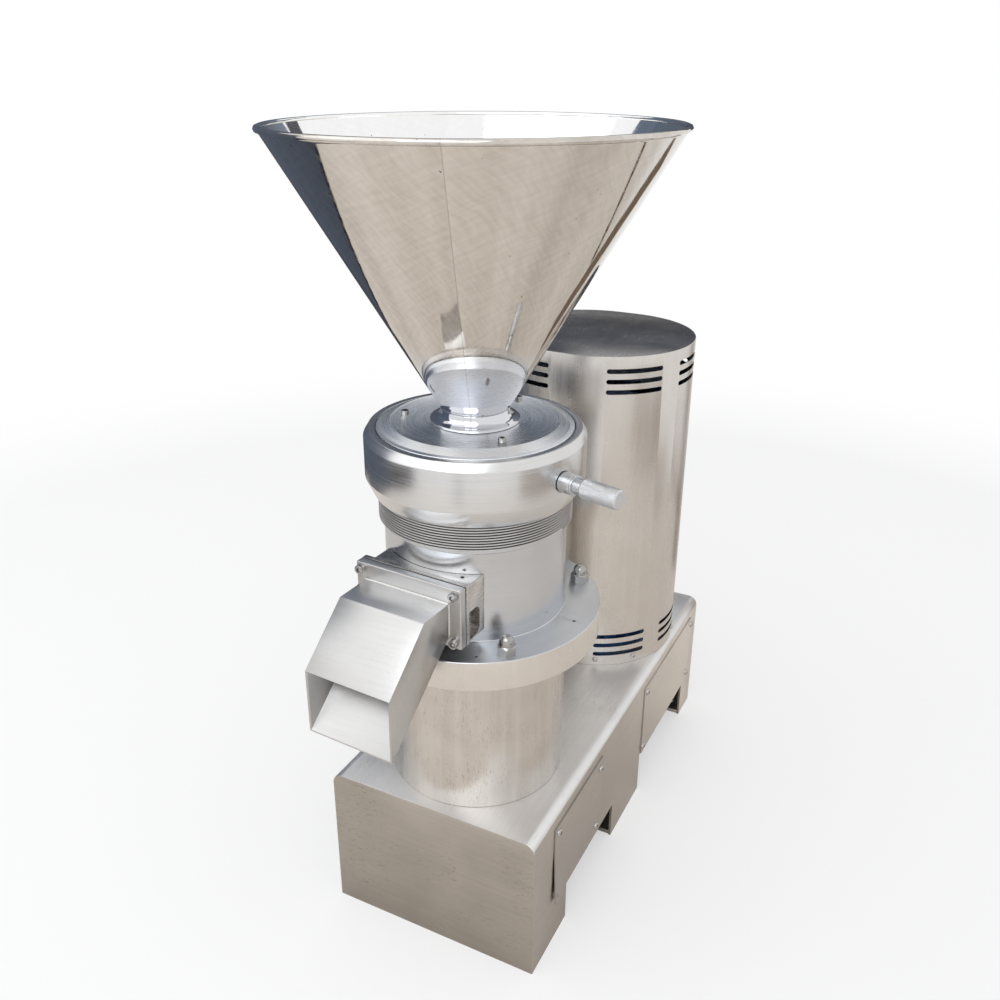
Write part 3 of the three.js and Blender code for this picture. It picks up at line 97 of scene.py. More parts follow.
def placed(bm, name, *materials):
    """An object of the scene from a shape, which is freed."""
    mesh = bpy.data.meshes.new(name)
    bm.to_mesh(mesh)
    bm.free()
    for material in materials:
        mesh.materials.append(material)
    made = bpy.data.objects.new(name, mesh)
    scene.collection.objects.link(made)
    return made


# %% [markdown]
# ## Camera
# The camera stands where the photographer stood: to the right of the front, a metre up, and looking down
# by 24 degrees. Such a place is found from straight edges and from circles that show as ellipses. A wide
# lens makes the hopper look big against the base, so the lens has to be right before any shape is.

# %% Place the camera
LOOK_DOWN, LOOK_LEFT = 23.8, 27.4  # degrees
eye = bpy.data.cameras.new("eye")
eye.sensor_width = 36
eye.lens = 35.59
eye.shift_x = 0.0118
eye.shift_y = -0.0089
camera = bpy.data.objects.new("camera", eye)
scene.collection.objects.link(camera)
camera.location = point(476.8, -889.5, 996.3)
camera.rotation_euler = (math.radians(90 - LOOK_DOWN), 0, math.radians(LOOK_LEFT))
scene.camera = camera
scene.view_settings.view_transform = "Standard"
print("camera at", [round(c, 3) for c in camera.location])

# %% [markdown]
# ## Light
# Polished metal has no look of its own: it shows what stands round it. A plain white world lights every
# side alike and gives the background. Two large soft lamps add a direction, and a few darker boards that
# only reflections see give the steel its dark bands, as a product photographer does with black card.
# The floor is nearly white to the camera and keeps a faint shadow there. Reflections see its warm paint.

# %% Node helpers
def add(source, kind, inputs=None, **settings):
    """A shader node with its settings, and with a value or a link for each input that is named.

    The source is a node tree, or any socket in it, because a socket knows its tree.
    """
    tree = source.id_data
    made = tree.nodes.new("ShaderNode" + kind)
    for name, value in settings.items():
        setattr(made, name, value)
    for key, value in (inputs or {}).items():
        if isinstance(value, bpy.types.NodeSocket):
            tree.links.new(value, made.inputs[key])
        else:
            made.inputs[key].default_value = value
    return made


def maths(operation, *values):
    """The number that a Math node makes. The first value is a socket."""
    return add(values[0], "Math", dict(enumerate(values)), operation=operation).outputs[0]


def vectors(operation, *values):
    """The vector that a Vector Math node makes. The last value is a socket."""
    return add(values[-1], "VectorMath", dict(enumerate(values)), operation=operation).outputs[0]


def length(vector):
    """How long a vector is."""
    return add(vector, "VectorMath", {0: vector}, operation="LENGTH").outputs["Value"]


def split(vector):
    """The three parts of a vector."""
    return add(vector, "SeparateXYZ", {0: vector}).outputs


def tint(factor, *two):
    """A colour between two, each of which is a socket or three numbers."""
    one, other = (c if isinstance(c, bpy.types.NodeSocket) else (*c, 1) for c in two)
    return add(factor, "Mix", {0: factor, 6: one, 7: other}, data_type="RGBA").outputs[2]


def seen_by(tree):
    """1 for rays that come from the camera or from a reflection, and 0 for rays that only carry light."""
    path = add(tree, "LightPath").outputs
    direct = maths("MAXIMUM", path["Is Camera Ray"], path["Is Glossy Ray"])
    return maths("MAXIMUM", direct, path["Is Transmission Ray"])


def bare_material(name):
    """A new material without nodes, and its node tree."""
    made = bpy.data.materials.new(name)
    made.use_nodes = True
    made.node_tree.nodes.clear()
    return made, made.node_tree


# %% World
world = bpy.data.worlds.new("white_room")
scene.world = world
world.use_nodes = True
sky = world.node_tree
sky.nodes.clear()
seen = add(sky, "Background", {"Color": (1, 1, 1, 1), "Strength": 1.0})
lighting = add(sky, "Background", {"Color": (0.97, 0.98, 1, 1), "Strength": 0.85})
both = add(sky, "MixShader", {0: seen_by(sky), 1: lighting.outputs[0], 2: seen.outputs[0]})
add(sky, "OutputWorld", {"Surface": both.outputs[0]})
print("world", world.name)

# %% Lamps
LAMPS_AIM = Vector((0, 0, 0.5))  # half way up the machine


def soft_lamp(name, place, size, watts, colour):
    """A square lamp that faces the machine."""
    lamp = bpy.data.lights.new(name, "AREA")
    lamp.size = size
    lamp.energy = watts
    lamp.color = colour
    holder = bpy.data.objects.new(name, lamp)
    scene.collection.objects.link(holder)
    holder.location = place
    holder.rotation_euler = (LAMPS_AIM - holder.location).to_track_quat("-Z", "Y").to_euler()
    print(name, watts, "W")


soft_lamp("key_lamp", (-1.3, -1.5, 2.6), 3.0, 18, (0.93, 0.965, 1))
soft_lamp("front_lamp", (0.4, -2.2, 2.4), 1.8, 21, (0.90, 0.95, 1))

# %% Floor
FLOOR_SIDE = 24
FADE = {"From Min": 0.9, "From Max": 2.3}  # metres from the machine, over which the floor turns white
BLEACH = 0.5  # how much of the floor is plain white to the camera near the machine

floor_paint, tree = bare_material("floor_paint")
away = length(add(tree, "TexCoord").outputs["Object"])
fade = add(tree, "MapRange", {"Value": away, **FADE}, interpolation_type="SMOOTHSTEP").outputs["Result"]
ray = add(tree, "LightPath").outputs
whiteness = maths("MAXIMUM", fade, maths("MULTIPLY", ray["Is Camera Ray"], BLEACH))
paint = tint(ray["Is Glossy Ray"], (0.90, 0.89, 0.88), (0.80, 0.74, 0.675))
near = add(tree, "BsdfDiffuse", {"Color": paint})
far = add(tree, "Emission", {"Color": (1, 1, 1, 1), "Strength": 1.0})
ground = add(tree, "MixShader", {0: whiteness, 1: near.outputs[0], 2: far.outputs[0]})
add(tree, "OutputMaterial", {"Surface": ground.outputs[0]})
placed(flat_sheet(FLOOR_SIDE, FLOOR_SIDE, 2, 2), "floor", floor_paint)
print("floor", FLOOR_SIDE, "m square")

# %% Boards for the reflections
def board(name, place, width, height, turn, shade, top_shade=None):
    """An upright board that only reflections see, with a second shade at its top if asked."""
    cloth, tree = bare_material(name)
    level = split(add(tree, "TexCoord").outputs["Object"])[2]
    ends = {"From Min": place[2] - height / 2, "From Max": place[2] + height / 2}
    rise = add(tree, "MapRange", {"Value": level, **ends}).outputs["Result"]
    glow = add(tree, "Emission", {"Color": tint(rise, shade, top_shade or shade), "Strength": 1.0})
    add(tree, "OutputMaterial", {"Surface": glow.outputs[0]})
    upright = moved(flat_sheet(width, height), turn=90, axis="X")
    made = placed(moved(upright, place, turn), name, cloth)
    made.visible_camera = False
    made.visible_diffuse = False
    made.visible_shadow = False
    print(f"{name}: {width} by {height} m")


board("back_board", (-1.4, 2.85, 1.6), 3.9, 1.7, 26, (0.04, 0.038, 0.04), (0.22, 0.25, 0.31))
board("left_board", (-1.25, 0.0, 0.77), 1.5, 1.54, 90, (0.085, 0.105, 0.145), (0.13, 0.155, 0.21))
board("left_skirting", (-1.24, 0.0, 0.02), 1.5, 0.04, 90, (0.04, 0.04, 0.05))
board("left_front_sill", (-1.05, -1.1, 0.1), 0.8, 0.2, -60, (0.06, 0.06, 0.07))
board("rear_left_board", (-0.85, 0.95, 0.9), 1.0, 1.8, 60, (0.07, 0.07, 0.075), (0.12, 0.15, 0.20))
board("slate_board", (-1.45, 0.52, 1.65), 0.8, 0.6, 65, (0.13, 0.16, 0.21))
board("rear_strip", (0.3, 2.0, 1.9), 0.4, 1.4, 0, (0.1, 0.1, 0.11))
board("brown_post", (0.31, 0.80, 0.31), 0.16, 0.62, 0, (0.20, 0.15, 0.115))
board("brown_sill", (0.95, 1.0, 0.02), 0.92, 0.04, -10, (0.12, 0.08, 0.055))
board("low_right_board", (1.3, 0.05, 0.125), 1.3, 0.25, 90, (0.47, 0.42, 0.375))
board("front_post", (0.26, -1.35, 0.15), 0.09, 0.3, 0, (0.34, 0.35, 0.39))

# %% [markdown]
# ## Finishes
# Stainless steel has one colour, a slightly warm grey, and many surfaces. Rolled sheet has a long fine
# grain and soft clouds. A turned face has fine rings that pull each highlight out along a radius. The
# hopper is buffed until it mirrors. Each finish is made from noise that is stretched along the tool's
# path, because a cutting or grinding tool leaves the same mark.

# %% Coordinates for finishes
def from_axis(tree, back=0.0):
    """Object coordinates in millimetres about an upright axis, back millimetres behind the mill's."""
    coordinates = add(tree, "TexCoord").outputs["Object"]
    shift = (0, -(mill_y / MM + back), 0)
    inputs = {"Vector": coordinates, "Location": shift, "Scale": (1 / MM,) * 3}
    return add(tree, "Mapping", inputs).outputs[0]


def polar(place):
    """Distance from the axis, direction from it and height. A direction has no seam, as an angle would."""
    x, y, height = split(place)
    flat = add(x, "CombineXYZ", {0: x, 1: y}).outputs[0]
    return length(flat), vectors("NORMALIZE", flat), height


def round_grain(place, lines, drift):
    """Coordinates whose noise runs round the axis: lines per millimetre, and slow change along each line."""
    radius, direction, height = polar(place)
    across = maths("MULTIPLY", maths("SUBTRACT", radius, height), lines)
    along = add(place, "VectorMath", {0: direction, "Scale": drift}, operation="SCALE").outputs[0]
    x, y, _ = split(along)
    return add(place, "CombineXYZ", {0: across, 1: x, 2: y}).outputs[0]


def round_pull(shader, place, amount):
    """Draws highlights out across the way that a turning tool takes."""
    way = vectors("NORMALIZE", vectors("CROSS_PRODUCT", (0, 0, 1), place))
    in_world = add(
        way, "VectorTransform", {0: way}, vector_type="VECTOR", convert_from="OBJECT", convert_to="WORLD"
    )
    shader.inputs["Anisotropic"].default_value = amount
    place.id_data.links.new(in_world.outputs[0], shader.inputs["Tangent"])


# %% Shader helpers
def shader_material(name, slot, back=0.0, metallic=1.0):
    """A material that knows the record's slot, its one principled shader, and coordinates for it."""
    made, tree = bare_material(name)
    shader = add(tree, "BsdfPrincipled", {"Metallic": metallic})
    add(tree, "OutputMaterial", {"Surface": shader.outputs[0]})
    made["slot"] = slot
    print("finish", name)
    return made, shader, from_axis(tree, back)


def noise(place, scale=1.0, detail=3.0, distortion=0.0):
    """Noise between 0 and 1. Its scale is one number, or three where it is drawn out along an axis."""
    if not isinstance(scale, float):
        place = add(place, "VectorMath", {0: place, 1: scale}, operation="MULTIPLY").outputs[0]
        scale = 1.0
    inputs = {"Vector": place, "Scale": scale, "Detail": detail, "Distortion": distortion}
    return add(place, "TexNoise", inputs).outputs["Fac"]


def spread(value, low=0.0, high=1.0, start=0.35, end=0.65):
    """Maps the useful part of a noise, or another stretch of values, to a range and stops at its ends."""
    inputs = {"Value": value, "From Min": start, "From Max": end, "To Min": low, "To Max": high}
    return add(value, "MapRange", inputs).outputs["Result"]


def blended(one, two, share):
    """Two values in a fixed proportion."""
    return add(one, "Mix", {0: share, 2: one, 3: two}, data_type="FLOAT").outputs[0]


def link(shader, colour, roughness, height=None, depth=0.0, strength=0.0):
    """Joins colour, roughness and a height, with its depth in millimetres, to a shader."""
    ends = {"Base Color": colour, "Roughness": roughness}
    if height is not None:
        bump = add(height, "Bump", {"Height": height, "Distance": depth * MM, "Strength": strength})
        ends["Normal"] = bump.outputs[0]
    for key, value in ends.items():
        value.id_data.links.new(value, shader.inputs[key])


# %% Wear
def scratches(place, grain):
    """Sparse thin dashes that run nearly along the grain, where a broad noise lets them."""
    way = [0.045 if side == min(grain) else 0.75 for side in grain]
    dashes = []
    for tip in (0.1, -0.16):
        tipped = add(place, "Mapping", {"Vector": place, "Rotation": (tip,) * 3}).outputs[0]
        dashes.append(spread(noise(tipped, way, 1.0), 0.0, 1.0, 0.66, 0.72))
    patch = spread(noise(place, 0.014, 4.0), 0.0, 1.0, 0.46, 0.62)
    return maths("MULTIPLY", maths("MAXIMUM", *dashes), patch)


def worn_colour(base, marks, dark, share):
    """A base colour under brown marks."""
    brown = (dark[0] * 0.5, dark[1] * 0.47, dark[2] * 0.44)
    return tint(maths("MULTIPLY", marks, share), base, brown)


# %% Folded sheet
# Heights of the painted shade near the floor, and depths and colour of the painted glare towards the rear of
# a side.
PAINTED_SHADE_HEIGHTS = (10, 180)  # where a side is darkest, and where it isn't darker any more
PAINTED_GLARE_DEPTHS = (100, 430)  # where a side starts to get paler towards the rear, and where it is palest
PAINTED_GLARE_COLOUR = (0.95, 0.90, 0.84)


def sheet_steel(name, grain, light, dark, rough=(0.28, 0.40), back=0.0, stains=0.35, painted_floor_shade=0.0, painted_glare=0.0):
    """Rolled sheet: grain is the scale of the lines along X, Y and Z, small where they run long.

    Painted floor shade is how much darker the sheet is painted towards the floor, and painted glare is how
    much paler it is painted towards the rear.
    """
    made, shader, place = shader_material(name, "brushed_sheet", back)
    fine = noise(place, grain, 4.0)
    streak = noise(place, [g * 0.16 for g in grain])
    cloud = noise(place, 0.011, 4.0, 0.4)
    base = tint(spread(blended(cloud, streak, 0.3)), dark, light)
    _, behind, height = split(place)
    # Painted shade darkens the colour towards the floor, and a painted glare makes it paler towards the rear.
    if painted_floor_shade:
        base = tint(spread(height, painted_floor_shade, 0.0, *PAINTED_SHADE_HEIGHTS), base, [d * 0.6 for d in dark])
    if painted_glare:
        base = tint(spread(behind, 0.0, painted_glare, *PAINTED_GLARE_DEPTHS), base, PAINTED_GLARE_COLOUR)
    base = worn_colour(base, scratches(place, grain), dark, stains)
    rough_mix = spread(blended(cloud, fine, 0.4), *rough)
    link(shader, base, rough_mix, blended(fine, cloud, 0.4), 0.03, 0.25)
    return made


GRAIN_X, GRAIN_Y = (0.06, 1.5, 1.5), (1.6, 0.05, 1.6)  # the lines run along X, or along Y
# The base is one steel. Its top is a lighter copy as painted light, and its front, sides, panels and pads use
# darker copies as painted shade. The front also has real stains.
lit_base_steel = sheet_steel("lit_base_steel", GRAIN_Y, (0.84, 0.835, 0.83), (0.73, 0.72, 0.71), (0.38, 0.5))
shaded_front_steel = sheet_steel(
    "shaded_front_steel", (0.05, 1.6, 1.6), (0.50, 0.465, 0.425), (0.40, 0.37, 0.335), (0.3, 0.44),
    stains=0.6, painted_floor_shade=0.3,
)
shaded_side_steel = sheet_steel("shaded_side_steel", GRAIN_Y, (0.53, 0.50, 0.47), (0.45, 0.42, 0.39), painted_floor_shade=0.25, painted_glare=0.6)
duct_steel = sheet_steel(
    "duct_steel", GRAIN_X, (0.56, 0.55, 0.54), (0.49, 0.48, 0.47), (0.26, 0.36), stains=0.1
)
# The spout's level top is a much lighter copy of the duct's finish, as painted light.
lit_duct_top_steel = sheet_steel(
    "lit_duct_top_steel", GRAIN_X, (0.88, 0.885, 0.895), (0.78, 0.785, 0.795), (0.3, 0.4)
)
# The top of the motor cover is a darker copy of the sheet finish, as painted shade.
shaded_cover_top_steel = sheet_steel(
    "shaded_cover_top_steel", (1.2, 0.05, 1.2), (0.43, 0.405, 0.39), (0.29, 0.27, 0.255), (0.18, 0.3),
    back=motor_back, stains=0.3,
)


# %% Round sheet and ground tube
def rolled_steel(name, light, dark, back=0.0, rough=(0.24, 0.34), stains=0.25):
    """Sheet or tube whose grain runs round an upright axis."""
    made, shader, place = shader_material(name, "brushed_sheet", back)
    fine = noise(round_grain(place, 0.8, 3.0), 1.0, 2.0)
    bands = noise(round_grain(place, 0.004, 8.0))
    cloud = noise(place, 0.013, 4.0, 0.5)
    base = tint(spread(blended(cloud, bands, 0.5)), dark, light)
    if stains:
        base = worn_colour(base, scratches(place, (0.9, 0.9, 0.1)), dark, stains)
    round_pull(shader, place, 0.55)
    link(shader, base, spread(blended(bands, fine, 0.1), *rough), fine, 0.02, 0.015)
    return made


column_steel = rolled_steel("column_steel", (0.70, 0.665, 0.625), (0.54, 0.50, 0.455), stains=0.6)
# The flange rim is a lighter copy of the column's finish, as painted light, with fewer stains.
lit_flange_steel = rolled_steel("lit_flange_steel", (0.74, 0.705, 0.665), (0.68, 0.645, 0.60), stains=0.12)
cover_steel = rolled_steel(
    "cover_steel", (0.67, 0.64, 0.605), (0.60, 0.565, 0.53), motor_back, (0.24, 0.3), stains=0.0
)


# %% Turned steel
def turned_steel(name, light, dark, rough=(0.17, 0.25), lines=2.4, pull=0.7):
    """A face from the lathe: fine rings, and highlights drawn out across them."""
    made, shader, place = shader_material(name, "turned_steel")
    fine = noise(round_grain(place, lines, 0.6), 1.0, 5.0)
    broad = noise(round_grain(place, lines * 0.22, 1.2), 1.0, 2.0)
    cloud = noise(place, 0.016, 3.0, 0.3)
    rings = blended(fine, broad, 0.4)
    base = tint(spread(blended(rings, cloud, 0.4)), dark, light)
    round_pull(shader, place, pull)
    link(shader, base, spread(rings, *rough), rings, 0.02, 0.1)
    return made


ring_steel = turned_steel("ring_steel", (0.72, 0.715, 0.71), (0.61, 0.605, 0.60))
# The cover's colour is paler and bluer than the steel's, as a painted reflection of a bright sky.
sky_lit_lid_steel = turned_steel("sky_lit_lid_steel", (0.86, 0.88, 0.91), (0.80, 0.82, 0.85), (0.24, 0.32), lines=1.6)
barrel_steel = turned_steel("barrel_steel", (0.62, 0.63, 0.65), (0.53, 0.54, 0.56), (0.2, 0.27))
# The flange's top is a bluish copy of the turned finish, as a painted reflection of the sky.
sky_lit_flange_top_steel = turned_steel(
    "sky_lit_flange_top_steel", (0.66, 0.68, 0.71), (0.58, 0.60, 0.63), (0.3, 0.38), pull=0.3
)

# %% Thread with painted shade in its roots
THREAD_ROOT = 106.4
THREAD_CREST = 108.2

thread_steel, shader, place = shader_material("thread_steel", "turned_steel")
radius, _, _ = polar(place)
# The roots are painted nearly black as shade, and grime varies the crests.
shade = spread(radius, 0.0, 1.0, THREAD_ROOT + 0.2, THREAD_CREST - 0.2)
grime = noise(round_grain(place, 0.9, 2.0))
shade_and_grime = maths("MULTIPLY", shade, spread(grime, 0.75, 1.0))
colour = tint(shade_and_grime, (0.03, 0.03, 0.033), (0.66, 0.66, 0.67))
link(shader, colour, spread(shade_and_grime, 0.5, 0.25, 0, 1), grime, 0.05, 0.3)

# %% Mirror polish
SEAM_ANGLE = -69
SHEET_REACH = 130  # the radius at which the marks on the cone have their true size
# The cover plate's reflection low on the cone is painted into the colour.
PAINTED_REFLECTION_HEIGHTS = (735, 700)  # the cone mirrors the pale cover plate below these
PAINTED_REFLECTION_COLOUR = (0.69, 0.70, 0.73)


def polished(name, light, dark):
    """Buffed sheet: wipe marks in two directions, soft upright bands, a seam, a few specks, and a painted
    reflection of the pale cover plate low on the cone.
    """
    made, shader, from_front = shader_material(name, "polished_steel")
    to_seam = (0, 0, math.radians(-SEAM_ANGLE - 180))
    place = add(from_front, "Mapping", {"Vector": from_front, "Rotation": to_seam}).outputs[0]
    x, y, height = split(place)
    around = maths("MULTIPLY", maths("ARCTAN2", y, x), SHEET_REACH)
    sheet = add(place, "CombineXYZ", {0: around, 1: height}).outputs[0]
    bent = vectors("MULTIPLY_ADD", noise(sheet, 0.02, 2.0), (16, 16, 0), sheet)
    wipes = []
    for lean in (58, -28):
        leaned = add(bent, "Mapping", {"Vector": bent, "Rotation": (0, 0, math.radians(lean))}).outputs[0]
        wipes.append(noise(leaned, (0.035, 0.26, 1)))
    wiped = blended(*wipes, 0.45)
    bands = noise(sheet, (0.035, 0.001, 1))
    base = tint(spread(blended(wiped, bands, 0.5), 0.0, 1.0, 0.38, 0.62), dark, light)
    # Painted reflection of the pale cover plate, below the given heights.
    base = tint(spread(height, 0.0, 0.9, *PAINTED_REFLECTION_HEIGHTS), base, PAINTED_REFLECTION_COLOUR)
    seam = spread(maths("ABSOLUTE", y), 0.3, 0.0, 0.25, 0.7)
    seam_here = maths("MULTIPLY", seam, maths("LESS_THAN", x, 0.0))
    speck = spread(noise(place, 0.2, 1.0), 0.0, 0.8, 0.79, 0.81)
    marked = tint(maths("MAXIMUM", seam_here, speck), base, (0.14, 0.12, 0.10))
    link(shader, marked, spread(wiped, 0.04, 0.09, 0.42, 0.6))
    return made


mirror_steel = polished("mirror_steel", (0.70, 0.66, 0.615), (0.54, 0.505, 0.46))
# The hopper's inside is a near-white copy of the polish, as painted light.
lit_inside_steel = polished("lit_inside_steel", (0.93, 0.93, 0.93), (0.87, 0.87, 0.87))


# %% Small hardware and machined blocks
def bright_steel(name, colour, rough, slot="fastener", grain=(0.7, 0.7, 0.7), relief=0.3):
    """Small hardware: even, bright and a little worn."""
    made, shader, place = shader_material(name, slot)
    wear = noise(place, grain, 4.0)
    base = tint(spread(wear), [c * 0.84 for c in colour], colour)
    link(shader, base, spread(wear, rough * 0.75, rough * 1.3), wear, 0.03, relief)
    return made


nut_steel = bright_steel("nut_steel", (0.42, 0.41, 0.40), 0.12, relief=0.08)
screw_steel = bright_steel("screw_steel", (0.56, 0.55, 0.54), 0.26)
handle_steel = bright_steel("handle_steel", (0.60, 0.61, 0.63), 0.24, "turned_steel", (0.15, 0.15, 2.0))
knurl_steel = bright_steel("knurl_steel", (0.68, 0.69, 0.71), 0.3, "turned_steel", (1.3, 1.3, 1.3))
milled_steel = bright_steel(
    "milled_steel", (0.66, 0.635, 0.61), 0.28, "turned_steel", (0.04, 0.06, 0.9), relief=0.05
)
weld_steel = bright_steel("weld_steel", (0.68, 0.67, 0.65), 0.28, "brushed_sheet", (0.8, 0.8, 0.8))
iron = bright_steel("iron", (0.30, 0.30, 0.31), 0.5, "machined_iron", (0.4, 0.4, 0.9))
yellow_metal = bright_steel("yellow_metal", (0.70, 0.52, 0.24), 0.35, "brass", (0.6, 0.6, 0.6))


# %% Rubber, paint and moulded plastic
def dull_material(name, slot, light, dark, rough, grain, depth):
    """Rubber, paint or plastic: mottled colour and a fine relief."""
    made, shader, place = shader_material(name, slot, metallic=0.0)
    fine = noise(place, grain, 4.0)
    colour = tint(spread(blended(noise(place, 0.02), fine, 0.5)), dark, light)
    link(shader, colour, spread(fine, rough * 0.85, rough * 1.15), fine, depth, 0.6)
    return made


belt_rubber = dull_material(
    "belt_rubber", "rubber", (0.030, 0.030, 0.031), (0.012, 0.012, 0.013), 0.75, 1.2, 0.12
)
motor_enamel = dull_material(
    "motor_enamel", "motor_paint", (0.06, 0.17, 0.42), (0.045, 0.13, 0.34), 0.38, 0.5, 0.1
)
moulding = dull_material(
    "moulding", "black_plastic", (0.022, 0.022, 0.024), (0.013, 0.013, 0.015), 0.45, 1.6, 0.06
)

# %% [markdown]
# ## Modelling helpers
# Most of the machine came off a lathe, so the main helper spins a section round the axis. A section is a
# few corners, and a corner may have a small radius, because on real metal every edge catches a line of
# light. The other pieces are plates that are drawn out to a thickness. Where a hole or slot goes through,
# a Boolean takes a cutter's space away, which is quicker than stitching faces round it.

# %% Edges and faces
def bevelled(bm, parts, size, segments=2, affect="EDGES", clamp=False):
    """Rounds edges or corners off."""
    bmesh.ops.bevel(
        bm, geom=parts, offset=size, segments=segments, profile=0.5, affect=affect, clamp_overlap=clamp,
        material=-1,
    )


def break_edges(bm, size, segments=2):
    """Bevels every edge that turns by more than 30 degrees."""
    sharp = [e for e in bm.edges if e.is_manifold and e.calc_face_angle(0) > math.radians(30)]
    bevelled(bm, sharp, size, segments, clamp=True)


def facing_out(bm):
    """A shape whose faces all look outward."""
    bmesh.ops.recalc_face_normals(bm, faces=bm.faces)
    return bm


def edges_at(bm, axis, level):
    """The edges that lie at one level along an axis."""
    return [edge for edge in bm.edges if all(abs(vert.co[axis] - level) < 0.1 for vert in edge.verts)]


def points_in(made):
    """The points among what an operator made."""
    return [part for part in made["geom"] if isinstance(part, bmesh.types.BMVert)]


def thicken(bm, by):
    """Draws flat faces out by a vector."""
    far_side = bmesh.ops.extrude_face_region(bm, geom=bm.faces[:], use_keep_orig=True)
    bmesh.ops.translate(bm, verts=points_in(far_side), vec=by)


# %% Turned and drawn shapes
def turned(section, steps=128):
    """A body about the upright axis from corners of radius and height, some with an edge radius."""
    bm = bmesh.new()
    corners = [bm.verts.new((corner[0], 0, corner[1])) for corner in section]
    for one, two in zip(corners, corners[1:] + corners[:1]):
        bm.edges.new((one, two))
    for vert, corner in zip(corners, section):
        if len(corner) > 2:
            bevelled(bm, [vert], corner[2], 4, "VERTICES")
    bmesh.ops.spin(
        bm, geom=bm.verts[:] + bm.edges[:], cent=(0, 0, 0), axis=(0, 0, 1), angle=math.tau, steps=steps,
        use_merge=True,
    )
    bmesh.ops.remove_doubles(bm, verts=bm.verts, dist=0.001)
    on_axis = [edge for edge in bm.edges if not edge.link_faces]
    bmesh.ops.delete(bm, geom=on_axis, context="EDGES")
    return facing_out(bm)


def rod(radius, low, high, steps=32):
    """A plain round bar about the upright axis, most often to cut a hole with."""
    return turned([(0, low), (radius, low), (radius, high), (0, high)], steps)


def prism(radius, low, high, segments):
    """A bar with equal flat sides about the upright axis, between two heights."""
    bm = bmesh.new()
    bmesh.ops.create_cone(
        bm, cap_ends=True, segments=segments, radius1=radius, radius2=radius, depth=high - low
    )
    return moved(bm, (0, 0, (low + high) / 2))


def drawn(corners, by, rounded=None, segments=6):
    """A flat outline drawn out by a vector. Rounded gives some corners a radius."""
    bm = bmesh.new()
    verts = [bm.verts.new(corner) for corner in corners]
    bm.faces.new(verts)
    for number, radius in (rounded or {}).items():
        bevelled(bm, [verts[number]], radius, segments, "VERTICES")
    thicken(bm, by)
    return facing_out(bm)


def box(low, high, edge=0.0, segments=2):
    """A block between two corners, with its edges broken."""
    bm = bmesh.new()
    bmesh.ops.create_cube(bm, size=1)
    bmesh.ops.scale(bm, verts=bm.verts, vec=[b - a for a, b in zip(low, high)])
    moved(bm, [(a + b) / 2 for a, b in zip(low, high)])
    if edge:
        break_edges(bm, edge, segments)
    return bm


# %% Joining and cutting shapes
def joined(first, *others):
    """Adds the faces of other shapes to the first."""
    for other in others:
        mesh = bpy.data.meshes.new("part")
        other.to_mesh(mesh)
        other.free()
        first.from_mesh(mesh)
        bpy.data.meshes.remove(mesh)
    return first


def carved(bm, cutter, operation="DIFFERENCE"):
    """The shape after a Boolean with a cutter."""
    blank = placed(bm, "blank")
    tool = placed(cutter, "tool")
    modifier = blank.modifiers.new("carve", "BOOLEAN")
    modifier.object = tool
    modifier.operation = operation
    modifier.solver = "EXACT"
    graph = bpy.context.evaluated_depsgraph_get()
    result = bpy.data.meshes.new_from_object(blank.evaluated_get(graph))
    made = bmesh.new()
    made.from_mesh(result)
    bpy.data.meshes.remove(result)
    for stand_in in (blank, tool):
        mesh = stand_in.data
        bpy.data.objects.remove(stand_in)
        bpy.data.meshes.remove(mesh)
    return made


def repeated(bm, places):
    """Copies of one shape at several places, and the first is freed."""
    made = joined(bmesh.new(), *[moved(bm.copy(), place) for place in places])
    bm.free()
    return made


def on_circle(radius, angle, height=0.0):
    """A point on a circle about the axis."""
    return (radius * math.cos(math.radians(angle)), radius * math.sin(math.radians(angle)), height)


# %% Making a piece of the scene
SQUARE_ON = 0.9  # a face is square on to an axis if its normal has a larger share along it than this


def piece(bm, name, finish, body, *stands_for, smooth=32):
    """Brings a shape to metres, gives it its finish, and sets it on its body."""
    bmesh.ops.scale(bm, verts=bm.verts, vec=(MM, MM, MM))
    made = placed(moved(bm, (0, mill_y, 0)), name, finish)
    made.data.shade_smooth()
    made.data.set_sharp_from_angle(angle=math.radians(smooth))
    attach(made, body)
    if stands_for:
        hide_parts(*stands_for)
    print(f"{name}: {len(made.data.polygons)} faces")
    return made


def refinish(made, finish, chosen):
    """Gives the chosen faces of a piece another finish."""
    made.data.materials.append(finish)
    for face in made.data.polygons:
        if chosen(face):
            face.material_index = len(made.data.materials) - 1


def across(face):
    """The way from the mill's axis to the middle of a face."""
    return face.center - point(0, 0, face.center.z / MM)


# %% [markdown]
# ## Base
# The base is one sheet folded over its two long edges, with flat plates welded in at both ends. It stands
# on three pairs of feet that are left when gaps are cut in its sides. A folded edge has a large soft
# radius and a welded one is ground almost sharp, and that difference is what makes it read as sheet.

# %% Sizes of the base
BASE_HALF = 136
BASE_TOP = 195
BASE_FRONT = -120
BASE_REAR = 502
FOLD = 14
SHEET = 3
GAPS = ((-21, 138, 54), (248, 450, 61))  # front, rear and height of each gap in the sides
WELDED_ANGLE = 1.2  # faces that meet at a welded edge turn by more than this, in radians

